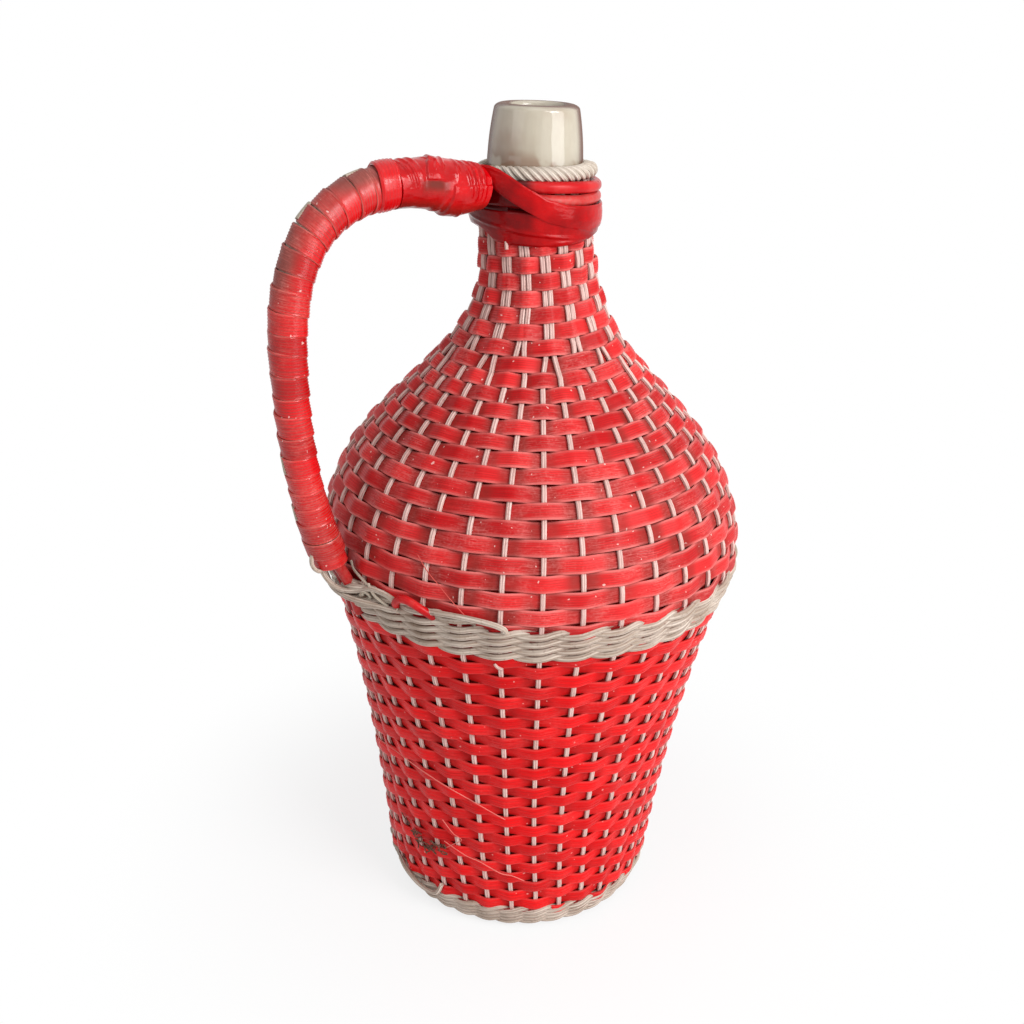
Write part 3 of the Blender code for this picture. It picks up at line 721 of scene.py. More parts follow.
class Workshop:
    """Makes swept and skinned pieces and hands them to the frame."""

    # edges that turn more than these angles stay sharp
    SHARP_ON_SWEEP = math.radians(48)
    SHARP_ON_SKIN = math.radians(50)
    # what a path's points carry, with the value of a path that doesn't say
    MARKS = {"swell": 1.0, "along": 0.0, "lift": 0.5, "tone": 0.5, "grime_and_shade": 0.0}

    def __init__(self) -> None:
        """Build the trees and the finishes once."""
        self.trees = {kind: SweepTree(kind) for kind in Kind}
        self.finishes = {}

    def finish(self, recipe: object) -> bpy.types.Material:
        """The material of a finish, built the first time it is asked for.

        Args:
            recipe: The finish.

        Returns:
            Its material.
        """
        if recipe.name not in self.finishes:
            self.finishes[recipe.name] = recipe.build()
        return self.finishes[recipe.name]

    def sweep(self, name: str, kind: Kind, paths: list[Path], section: Section, recipe: object,
              slot: str, *nodes: str) -> None:
        """Sweep a section along paths, keep the result as a plain mesh and hand it over.

        Args:
            name: The piece's name.
            kind: Strip or cord.
            paths: What it follows.
            section: Its sizes.
            recipe: Its finish.
            slot: The record's material slot.
            nodes: The CAD nodes it stands for.
        """
        tree = self.trees[kind]
        piece = put_in_scene(name, self._path_mesh(name, paths))
        modifier = piece.modifiers.new("sweep", "NODES")
        modifier.node_group = tree.tree
        for key, value in {**section.inputs(), "Material": self.finish(recipe)}.items():
            modifier[tree.ids[key]] = value
        depsgraph = bpy.context.evaluated_depsgraph_get()
        swept = bpy.data.meshes.new_from_object(piece.evaluated_get(depsgraph), depsgraph=depsgraph)
        piece.modifiers.remove(modifier)
        old, piece.data = piece.data, swept
        bpy.data.meshes.remove(old)
        swept.name = name
        swept.shade_smooth()
        swept.set_sharp_from_angle(angle=self.SHARP_ON_SWEEP)
        self.hand_over(piece, slot, *nodes)

    def _path_mesh(self, name: str, paths: list[Path]) -> bpy.types.Mesh:
        """A mesh of edges along the paths, with their facing and marks.

        Args:
            name: The piece's name.
            paths: The paths.

        Returns:
            The mesh.
        """
        points, edges, faces = [], [], []
        marks = {key: [] for key in self.MARKS}
        for path in paths:
            first = len(points)
            count = len(path.points)
            points += [tuple(p) for p in path.points]
            edges += [(first + i, first + i + 1) for i in range(count - 1)]
            if path.closed:
                edges.append((first + count - 1, first))
            faces += [c for v in path.squared() for c in v]
            given = {**path.marks, "along": path.along()}
            for key, values in marks.items():
                values.extend(given.get(key, [self.MARKS[key]] * count))
        mesh = bpy.data.meshes.new(f"{name}_path")
        mesh.from_pydata(points, edges, [])
        mesh.attributes.new("facing", "FLOAT_VECTOR", "POINT").data.foreach_set("vector", faces)
        self._mark(mesh, marks)
        return mesh

    @staticmethod
    def _mark(mesh: bpy.types.Mesh, marks: dict[str, list[float]]) -> None:
        """Keep numbers at each point of a mesh."""
        for key, values in marks.items():
            mesh.attributes.new(key, "FLOAT", "POINT").data.foreach_set("value", values)

    def skin(self, name: str, rings: list[list[Vector]], closed: bool, marks: dict[str, list[float]],
             recipe: object, slot: str, *nodes: str) -> None:
        """Join rings of points into a surface and hand it over.

        Args:
            name: The piece's name.
            rings: Rings with as many points each.
            closed: Whether the last ring joins the first.
            marks: Numbers carried at each point.
            recipe: Its finish.
            slot: The record's material slot.
            nodes: The CAD nodes it stands for.
        """
        count = len(rings[0])
        faces = []
        for low in range(len(rings) if closed else len(rings) - 1):
            high = (low + 1) % len(rings)
            for i in range(count):
                j = (i + 1) % count
                faces.append((low * count + i, low * count + j, high * count + j, high * count + i))
        if not closed:
            faces.append(tuple(reversed(range(count))))
            faces.append(tuple((len(rings) - 1) * count + i for i in range(count)))
        mesh = bpy.data.meshes.new(name)
        mesh.from_pydata([tuple(p) for ring in rings for p in ring], [], faces)
        self._mark(mesh, marks)
        mesh.materials.append(self.finish(recipe))
        mesh.shade_smooth()
        mesh.set_sharp_from_angle(angle=self.SHARP_ON_SKIN)
        self.hand_over(put_in_scene(name, mesh), slot, *nodes)

    @staticmethod
    def hand_over(piece: bpy.types.Object, slot: str, *nodes: str) -> None:
        """Let a piece ride on the part and hide the CAD nodes it stands for.

        Args:
            piece: The piece.
            slot: The record's material slot; not used.
            nodes: The CAD nodes it stands for.
        """
        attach(piece, BODY)
        if nodes:
            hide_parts(*nodes)
        log.info("%s: %d faces", piece.name, len(piece.data.polygons))


# The line of the cover

class SampledLine:
    """A line in a plane, sampled finely, with the distance along it at each point."""

    def __init__(self, points: list[Vector]) -> None:
        """Measure the line.

        Args:
            points: Its points.
        """
        self.points = points
        self.distances = [0.0]
        for a, b in zip(points, points[1:]):
            self.distances.append(self.distances[-1] + (b - a).length)

    def sample(self, distance: float) -> tuple[Vector, Vector]:
        """Point and direction at a distance along the line.

        Args:
            distance: How far along, in metres.

        Returns:
            The point, and the unit vector along the line.
        """
        i = min(max(bisect.bisect_left(self.distances, distance), 1), len(self.distances) - 1)
        share = (distance - self.distances[i - 1]) / (self.distances[i] - self.distances[i - 1])
        low, high = max(i - 2, 0), min(i + 1, len(self.points) - 1)
        along = (self.points[high] - self.points[low]).normalized()
        return self.points[i - 1].lerp(self.points[i], share), along


class CoverLine(SampledLine):
    """The line that every stake follows, as radius and height."""

    FOOT = ((0.0634, 0.0024), (0.0671, 0.0125))
    BASKET = ((0.0671, 0.0125), (0.0775, 0.1158), (0.0933, 0.1720))
    WAIST = ((0.0933, 0.1720), (0.0975, 0.1880))
    DOME = ((0.0975, 0.1880), (0.0975, 0.2490), (0.0226, 0.2677), (0.0226, 0.3240))
    NECK = ((0.0226, 0.3240), (0.0226, 0.3565))
    WEAVE_ENDS_ABOVE_NECK = 0.0064
    # height, how much fuller the cover is there
    FULLNESS = ((0.200, 0.0), (0.215, 0.0005), (0.235, 0.0015), (0.255, 0.0017), (0.270, 0.0014),
                (0.285, 0.0008), (0.300, 0.0012), (0.320, 0.0015), (0.335, 0.0012), (0.345, 0.0004),
                (0.350, 0.0))

    def __init__(self) -> None:
        """Sample the line finely."""
        points, marks = [], []
        curves = (self.FOOT, 8), (self.BASKET, 80), (self.WAIST, 10), (self.DOME, 150), (self.NECK, 10)
        for curve, count in curves:
            controls = [Vector(p) for p in curve]
            start = 1 if points else 0
            points += [bezier(controls, i / count) for i in range(start, count + 1)]
            marks.append(len(points) - 1)
        super().__init__(points)
        self.foot_top, self.waist, self.dome, self.neck, self.top = (self.distances[i] for i in marks)
        self.weave_top = self.neck + self.WEAVE_ENDS_ABOVE_NECK
        self.dome_row = (self.weave_top - self.dome) / DOME_ROWS
        self.pairs_from = self.weave_top - (PAIR_ROWS + PARTING_ROWS) * self.dome_row

    def at(self, distance: float, offset: float = 0.0) -> tuple[float, float]:
        """Radius and height at a distance along the line.

        Args:
            distance: How far along, in metres.
            offset: How far outward of the line.

        Returns:
            Radius and height.
        """
        point, normal = self._sample(distance)
        offset += between(self.FULLNESS, point.y)[0]
        return point.x + normal.x * offset, point.y + normal.y * offset

    def _sample(self, distance: float) -> tuple[Vector, Vector]:
        """Point and outward normal at a distance along the line."""
        point, along = self.sample(distance)
        return point, Vector((along.y, -along.x))

    def outward(self, distance: float, angle: float) -> Vector:
        """Outward direction in space at a distance and an angle."""
        normal = self._sample(distance)[1]
        return polar(normal.x, angle, normal.y)

    def place(self, distance: float, angle: float, offset: float = 0.0) -> Vector:
        """Point in space at a distance, an angle and an offset outward."""
        radius, height = self.at(distance, offset)
        return leant(polar(radius, angle, height))

    def spot(self, degrees: float, height: float, out: float) -> Vector:
        """Point in space from degrees, and a height and an offset in millimetres."""
        radius = self.at(self.distance_at(height / 1000))[0] + out / 1000
        return leant(polar(radius, math.radians(degrees), height / 1000))

    def distance_at(self, height: float) -> float:
        """Distance along the line at which it reaches a height.

        Args:
            height: The height in metres.

        Returns:
            The distance.
        """
        i = next(i for i in range(1, len(self.points)) if self.points[i].y >= height)
        share = (height - self.points[i - 1].y) / (self.points[i].y - self.points[i - 1].y)
        return self.distances[i - 1] + share * (self.distances[i] - self.distances[i - 1])


# Stakes and woven zones

@dataclass
class WovenZone:
    """Two ribbed strips that climb side by side, in and out of the stakes."""

    name: str
    nodes: tuple[str, str]
    slot: str
    line: CoverLine
    start: float
    end: float
    rows: int
    section: Section
    recipe: StripFinish
    reach: float
    seed: int
    pairs_from: float = math.inf
    crease: float = 0.16
    end_sink: float = 0.001
    height_stray: float = 0.00018
    offset_stray: float = 0.0001
    tilt_stray: float = 0.05

    @property
    def pitch(self) -> float:
        """Height of a row."""
        return (self.end - self.start) / self.rows

    def side(self, stake: int, middle: float, second: bool) -> int:
        """Whether a strip passes outside a stake, 1, or inside it, -1."""
        group = stake // 2 if middle > self.pairs_from else stake
        return 1 if (group % 2 == 0) != second else -1

    def steps(self) -> range:
        """The number of every crossing of a strip."""
        return range(HALF_TURN * (self.rows + 1) + 1)

    def crossing(self, step: int, second: bool) -> tuple[int, float]:
        """Stake, and distance along the line, at one crossing of a strip."""
        return (step + HALF_TURN * second) % STAKES, self.start + self.pitch * (step / HALF_TURN - 0.5)

    def crossings(self, stake: int) -> list[tuple[float, int]]:
        """Where the strips cross one stake.

        Args:
            stake: Its number.

        Returns:
            Distance along the line and side, lowest first.
        """
        found = []
        for second in (False, True):
            for crossed, middle in (self.crossing(step, second) for step in self.steps()):
                if crossed == stake:
                    found.append((middle, self.side(stake, middle, second)))
        return sorted(found)

    def path(self, stakes: "StakeSet", second: bool) -> Path:
        """The way of one strip.

        Args:
            stakes: The stakes that it passes.
            second: Whether it is the second strip.

        Returns:
            Its path.
        """
        rng = random.Random(self.seed + int(second))
        crossings, faces, sides, tones = [], [], [], []
        for step in self.steps():
            stake, middle = self.crossing(step, second)
            side = self.side(stake, middle, second)
            inside = ease((middle - self.start) / (self.pitch / 2) + 1)
            inside *= ease((self.end - middle) / (self.pitch / 2) + 1)
            middle += rng.uniform(-self.height_stray, self.height_stray)
            angle = stakes.angle(stake, middle)
            offset = side * self.reach * inside - self.end_sink * (1 - inside)
            offset += rng.uniform(-self.offset_stray, self.offset_stray)
            crossings.append(self.line.place(middle, angle, offset))
            tilt = rng.uniform(-self.tilt_stray, self.tilt_stray)
            tilted = Matrix.Rotation(tilt, 3, Vector((-math.sin(angle), math.cos(angle), 0)))
            faces.append(tilted @ self.line.outward(middle, angle))
            sides.append(side * inside)
            tones.append(rng.random())
        return self._creased(crossings, faces, sides, tones)

    def _creased(self, crossings: list[Vector], faces: list[Vector], sides: list[float],
                 tones: list[float]) -> Path:
        """Join the crossings by straight runs with a rounded crease at each.

        Args:
            crossings: Where the strip crosses the stakes.
            faces: How it faces there.
            sides: How far it is outside, 1, or inside, -1.
            tones: How bright it is from there on.

        Returns:
            The strip's path.
        """
        points, facing, lift, tone = [], [], [], []
        last = len(crossings) - 1
        for k in range(last + 1):
            spots = [-self.crease, -self.crease * 0.4, self.crease * 0.4, self.crease]
            if 0 < k < last:
                spots.append(0.5)
            for spot in spots:
                along = min(max(k + spot, 0.0), float(last))
                i = min(int(along), last - 1)
                share = along - i
                point = crossings[i].lerp(crossings[i + 1], share)
                if 0 < k < last and abs(spot) < self.crease:
                    bend = crossings[k - 1] - 2 * crossings[k] + crossings[k + 1]
                    point += bend * (self.crease - abs(spot)) ** 2 / (4 * self.crease)
                elif not 0 < k < last and along in (0.0, float(last)) and abs(spot) == self.crease:
                    continue
                points.append(point)
                facing.append(faces[i].lerp(faces[i + 1], share))
                lift.append(sides[i] + (sides[i + 1] - sides[i]) * ease(share))
                near = k if sides[k] > 0 else (i if sides[i] > 0 else i + 1)
                tone.append(tones[near])
        return Path(points, facing, {"lift": lift, "tone": tone})

    def make(self, shop: Workshop, stakes: "StakeSet") -> None:
        """Build both strips.

        Args:
            shop: The workshop.
            stakes: The stakes that they pass.
        """
        for second, letter, node in zip((False, True), "ab", self.nodes):
            shop.sweep(f"{self.name}_{letter}", Kind.STRIP, [self.path(stakes, second)], self.section,
                       self.recipe, self.slot, node)


@dataclass
class StakeSet:
    """The 36 two-ribbed stakes, in pairs that lie together at the neck and part on the shoulder."""

    line: CoverLine
    zones: list[WovenZone] = field(default_factory=list)
    width: float = 0.0021
    thickness: float = 0.0010
    pair_gap: float = 0.0002
    wobble: float = 0.00035
    samples: int = 150
    widest_span: float = 0.012

    # height, degrees that the stakes have gone round the basket
    TWIST = ((0.0, 5.4), (0.012, 5.2), (0.023, 4.7), (0.033, 4.0), (0.043, 3.3), (0.054, 2.7), (0.080, 1.7),
             (0.119, 0.8), (0.149, 0.3), (0.170, 0.0))

    def angle(self, index: int, distance: float) -> float:
        """Angle of one stake at a distance along the line.

        Args:
            index: The stake's number, from 0.
            distance: How far along.

        Returns:
            The angle in radians.
        """
        pair, right = divmod(index % STAKES, 2)
        radius, height = self.line.at(distance)
        together = (self.width + self.pair_gap) / 2 / radius
        share = clamp((distance - self.line.pairs_from) / (PARTING_ROWS * self.line.dome_row))
        half = STEP / 2 + (together - STEP / 2) * share
        twist = math.radians(between(self.TWIST, height)[0])
        return 2 * pair * STEP + (half if right else -half) + twist

    def path(self, index: int) -> Path:
        """The way of one stake, pressed in and out by the strips.

        Args:
            index: Its number, from 0.

        Returns:
            Its path.
        """
        crossings = sorted(c for zone in self.zones for c in zone.crossings(index))
        spots = [c[0] for c in crossings]
        points, facing, lift = [], [], []
        for i in range(self.samples + 1):
            distance = self.line.top * i / self.samples
            angle = self.angle(index, distance)
            k = bisect.bisect_left(spots, distance)
            side = 0.0
            if 0 < k < len(spots) and spots[k] - spots[k - 1] < self.widest_span:
                share = (distance - spots[k - 1]) / (spots[k] - spots[k - 1])
                side = crossings[k - 1][1] + (crossings[k][1] - crossings[k - 1][1]) * ease(share)
            points.append(self.line.place(distance, angle, -side * self.wobble))
            facing.append(self.line.outward(distance, angle))
            lift.append(-side)
        return Path(points, facing, {"lift": lift})

    def make(self, shop: Workshop) -> None:
        """Build the stakes.

        Args:
            shop: The workshop.
        """
        section = Section(self.width, self.thickness, ribs=2, rib_depth=0.00022, crown=0.0001,
                          rounding=0.0001)
        for index in range(STAKES):
            shop.sweep(f"ribbed_stake_{index + 1:02d}", Kind.STRIP, [self.path(index)], section,
                       STAKE_WHITE, "stake_white", f"stake_{index + 1:02d}")


@dataclass
class CordBand:
    """White cords twined round the stakes in closed courses, over a red lining."""

    name: str
    nodes: tuple[str, ...]
    line: CoverLine
    start: float
    end: float
    courses: int
    diameter: float
    reach: float
    cross: float
    seed: int
    bulge: float = 0.0

    # points from a key to the next
    PER_KEY = 4
    # how fast a course that stands out over the tubes falls away, by angle and from course to course
    BULGE_ANGLE = 0.11
    BULGE_FALL_PER_COURSE = 0.5
    LINING_OUT = 0.0003
    LINING_THICKNESS = 0.0006
    # how much painted shade darkens the lining
    LINING_SHADE = 0.55

    @property
    def pitch(self) -> float:
        """Height of a course."""
        return (self.end - self.start) / self.courses

    def make(self, shop: Workshop, stakes: StakeSet) -> None:
        """Build the band and its lining.

        Args:
            shop: The workshop.
            stakes: The stakes that it goes round.
        """
        paths = []
        for number in range(self.courses):
            middle = self.start + self.pitch * (number + 0.5)
            below_top = self.courses - 1 - number
            raised = self.bulge * max(0.0, 1 - self.BULGE_FALL_PER_COURSE * below_top)
            paths += [self.strand(stakes, strand, middle, raised, number) for strand in (0, 1)]
        shop.sweep(self.name, Kind.CORD, paths, cord_section(self.diameter), BAND_WHITE, "cord_white",
                   *self.nodes)
        self.lining(shop)

    def strand(self, stakes: StakeSet, strand: int, middle: float, raised: float, number: int,
               steps: range | None = None) -> Path:
        """The way of one cord, outside every second stake.

        Args:
            stakes: The stakes that it passes.
            strand: 0 or 1, the two cords of a course.
            middle: Distance along the line of the course's middle.
            raised: How far it stands out over the handle's tubes.
            number: The course's number, for its small shifts.
            steps: The stakes that it passes, or none for a closed course.

        Returns:
            Its path.
        """
        rng = random.Random((self.seed + number) * 10 + strand)
        keys = []
        for step in steps or range(STAKES):
            side = 1 if (step + strand) % 2 == 0 else -1
            angle, after = (stakes.angle(s, middle) + 2 * math.pi * (s // STAKES) for s in (step, step + 1))
            jitter = rng.uniform(-0.0002, 0.0002)
            keys.append((angle, middle + jitter, side * self.reach))
            keys.append(((angle + after) / 2, middle + side * self.cross * self.pitch + jitter, 0.0))
        return self._rounded(keys, raised, steps is None)

    def _rounded(self, keys: list[tuple[float, float, float]], raised: float, closed: bool) -> Path:
        """Run smoothly through keys of angle, distance and offset.

        Args:
            keys: The keys.
            raised: How far the cord stands out over the handle's tubes.
            closed: Whether it closes on itself.

        Returns:
            Its path.
        """
        points, facing, lift = [], [], []
        count = len(keys)

        def key(index: int) -> tuple[float, float, float]:
            """A key, counted on past the ends."""
            loops, i = divmod(index, count) if closed else (0, min(max(index, 0), count - 1))
            return keys[i][0] + 2 * math.pi * loops, keys[i][1], keys[i][2]
        for i in range(count if closed else count - 1):
            quad = [key(i + j) for j in (-1, 0, 1, 2)]
            for j in range(self.PER_KEY):
                angle, distance, offset = smooth_between(quad, j / self.PER_KEY)
                offset += raised * hump(angle, math.pi, self.BULGE_ANGLE)
                points.append(self.line.place(distance, angle, offset))
                facing.append(self.line.outward(distance, angle))
                lift.append(offset / self.reach)
        return Path(points, facing, {"lift": lift}, closed)

    def lining(self, shop: Workshop) -> None:
        """Red lining that shows between the cords, darkened with painted shade.

        Args:
            shop: The workshop.
        """
        middle = (self.start + self.end) / 2
        angles = turn_angles(72)
        path = Path([self.line.place(middle, a, self.LINING_OUT) for a in angles],
                    [self.line.outward(middle, a) for a in angles],
                    {"grime_and_shade": [self.LINING_SHADE] * len(angles)}, True)
        section = Section(self.end - self.start + self.LINING_THICKNESS, self.LINING_THICKNESS, ribs=2)
        shop.sweep(f"{self.name}_lining", Kind.STRIP, [path], section, TUBE_RED, "rod_red")


@dataclass
class BandTail:
    """The waist band's last course, which laps over its first from the handle to the front."""

    line: CoverLine
    band: CordBand
    lift: float = 0.0022
    first: int = 16
    last: int = 22
    number: int = 9

    def make(self, shop: Workshop, stakes: StakeSet) -> None:
        """Build the two cords of the lap.

        Args:
            shop: The workshop.
            stakes: The stakes that it goes round.
        """
        middle = self.band.end + self.lift
        steps = range(self.first, self.last + 1)
        paths = [self.band.strand(stakes, strand, middle, self.band.bulge, self.number, steps)
                 for strand in (0, 1)]
        section = cord_section(self.band.diameter)
        shop.sweep("waist_band_lap", Kind.CORD, paths, section, BAND_WHITE, "cord_white")


@dataclass(frozen=True)
class LooseEnd:
    """A cord, tube or thread that lies on the cover, through spots of degrees, height and offset in mm."""

    name: str
    slot: str
    recipe: object
    diameter: float
    spots: tuple[tuple[float, float, float], ...]

    THIN = 0.001

    def make(self, shop: Workshop, line: CoverLine) -> None:
        """Build it.

        Args:
            shop: The workshop.
            line: The line of the cover.
        """
        points = smooth_through([line.spot(*spot) for spot in self.spots], 6)
        section = Section(self.diameter, ribs=3 if self.diameter < self.THIN else 6)
        path = Path(points, level_outward(points))
        shop.sweep(self.name, Kind.CORD, [path], section, self.recipe, self.slot)


def loose_ends() -> list[LooseEnd]:
    """Everything loose that lies on the cover."""
    return [
        LooseEnd("red_tube_loop", "rod_red", TUBE_RED, 0.0036, (
            (197.0, 187.5, -0.5), (197.8, 190.8, 2.4), (199.4, 194.0, 3.6), (201.4, 195.0, 4.0),
            (203.6, 194.2, 3.9), (205.2, 192.7, 3.2), (206.6, 190.8, 1.8), (207.6, 189.0, 0.4),
            (208.4, 187.0, -1.0))),
        LooseEnd("waist_cord_hook", "cord_white", BAND_WHITE, 0.0024, (
            (206.0, 190.8, 0.4), (209.4, 191.8, 1.8), (213.0, 192.6, 2.6), (217.0, 192.8, 3.0),
            (220.6, 192.4, 3.2), (223.8, 191.5, 3.2), (225.8, 190.0, 2.8), (226.4, 188.4, 2.0),
            (225.8, 187.0, 0.8))),
        LooseEnd("foot_cord_kink", "cord_white", BAND_WHITE, 0.0022, (
            (172.0, 15.5, 2.2), (177.0, 14.5, 3.0), (182.0, 13.0, 3.2), (187.0, 11.8, 3.4),
            (192.4, 12.1, 3.6), (196.6, 13.4, 3.6), (198.6, 16.0, 3.4), (200.0, 20.6, 2.6))),
        LooseEnd("thin_cord_end_1", "core_grey", CORE_GREY, 0.0011, (
            (179.5, 198.5, 1.2), (181.6, 196.4, 2.0), (184.6, 195.2, 2.4), (187.6, 193.4, 2.2),
            (190.0, 191.6, 1.8))),
        LooseEnd("thin_cord_end_2", "core_grey", CORE_GREY, 0.0013, (
            (188.4, 194.0, 2.4), (189.8, 192.7, 3.2), (191.6, 191.1, 3.8), (193.4, 189.8, 3.6),
            (195.6, 188.2, 2.6))),
        LooseEnd("dusty_knot", "core_grey", CORE_GREY, 0.0014, (
            (184.4, 188.6, 2.4), (186.0, 190.2, 3.4), (187.6, 189.0, 4.0), (186.4, 187.8, 4.2),
            (188.2, 190.4, 3.8), (190.0, 189.2, 3.4), (189.0, 187.4, 2.8))),
        LooseEnd("stake_stub", "stake_white", STAKE_WHITE, 0.0014, (
            (223.6, 169.6, 1.6), (224.4, 168.0, 2.2), (225.8, 167.2, 2.6))),
        LooseEnd("stake_end", "stake_white", STAKE_WHITE, 0.0015, (
            (203.6, 332.4, 2.0), (204.0, 330.0, 2.3), (204.4, 327.8, 2.6))),
        LooseEnd("loose_hair", "dome_red", HAIR_RED, 0.00035, (
            (202.8, 213.9, 2.6), (206.4, 209.0, 3.2), (210.0, 204.2, 3.0), (213.4, 199.2, 3.2),
            (217.0, 193.3, 2.8))),
        LooseEnd("loose_thread_1", "cord_white", THREAD_PALE, 0.00042, (
            (171.0, 90.5, 2.6), (183.2, 95.3, 3.0), (194.7, 93.3, 2.8), (205.6, 89.9, 3.2),
            (214.6, 85.0, 2.8), (220.9, 80.9, 3.1), (226.8, 75.8, 2.7))),
        LooseEnd("loose_thread_2", "cord_white", THREAD_PALE, 0.00042, (
            (203.0, 52.0, 2.6), (211.7, 47.8, 3.0), (217.6, 45.6, 2.8), (225.3, 40.4, 3.0),
            (229.8, 39.1, 2.8), (234.5, 35.8, 2.6))),
        LooseEnd("loose_thread_3", "cord_white", THREAD_PALE, 0.00036, (
            (203.0, 66.0, 2.6), (207.2, 60.0, 3.0), (210.6, 57.4, 3.0), (207.4, 53.0, 3.0),
            (203.6, 48.0, 2.8)))]


@dataclass
class GrassClump:
    """Dry grass caught in the basket near the foot."""

    line: CoverLine
    fibres: int = 20
    diameter: float = 0.0006
    seed: int = 3
    first_degrees: float = 184.0
    degrees_over: float = 20.0
    height: float = 48.0
    sag: float = 5.0

    # degrees and millimetres by which fibres and their bends stray, and how far out they lie
    PLACE_STRAY = (1.2, 1.4)
    BEND_STRAY = (2.6, 2.4)
    OUT = (1.6, 3.6)

    def fibre(self, rng: random.Random, share: float) -> Path:
        """One crooked fibre.

        Args:
            rng: Where its chances come from.
            share: Its place in the clump, 0 to 1.

        Returns:
            Its path.
        """
        across, up = self.PLACE_STRAY
        angle = self.first_degrees + self.degrees_over * share + rng.uniform(-across, across)
        height = self.height - self.sag * math.sin(math.pi * share) + rng.uniform(-up, up)
        across, up = self.BEND_STRAY
        knots = []
        for _ in range(4):
            knots.append(self.line.spot(angle, height, rng.uniform(*self.OUT)))
            angle += rng.uniform(-across, across)
            height += rng.uniform(-up, up)
        points = smooth_through(knots, 4)
        return Path(points, level_outward(points))

    def make(self, shop: Workshop) -> None:
        """Build the fibres in one piece.

        Args:
            shop: The workshop.
        """
        rng = random.Random(self.seed)
        paths = [self.fibre(rng, i / (self.fibres - 1)) for i in range(self.fibres)]
        shop.sweep("dry_grass", Kind.CORD, paths, Section(self.diameter, ribs=3), GRASS_BROWN, "core_grey")


# Neck

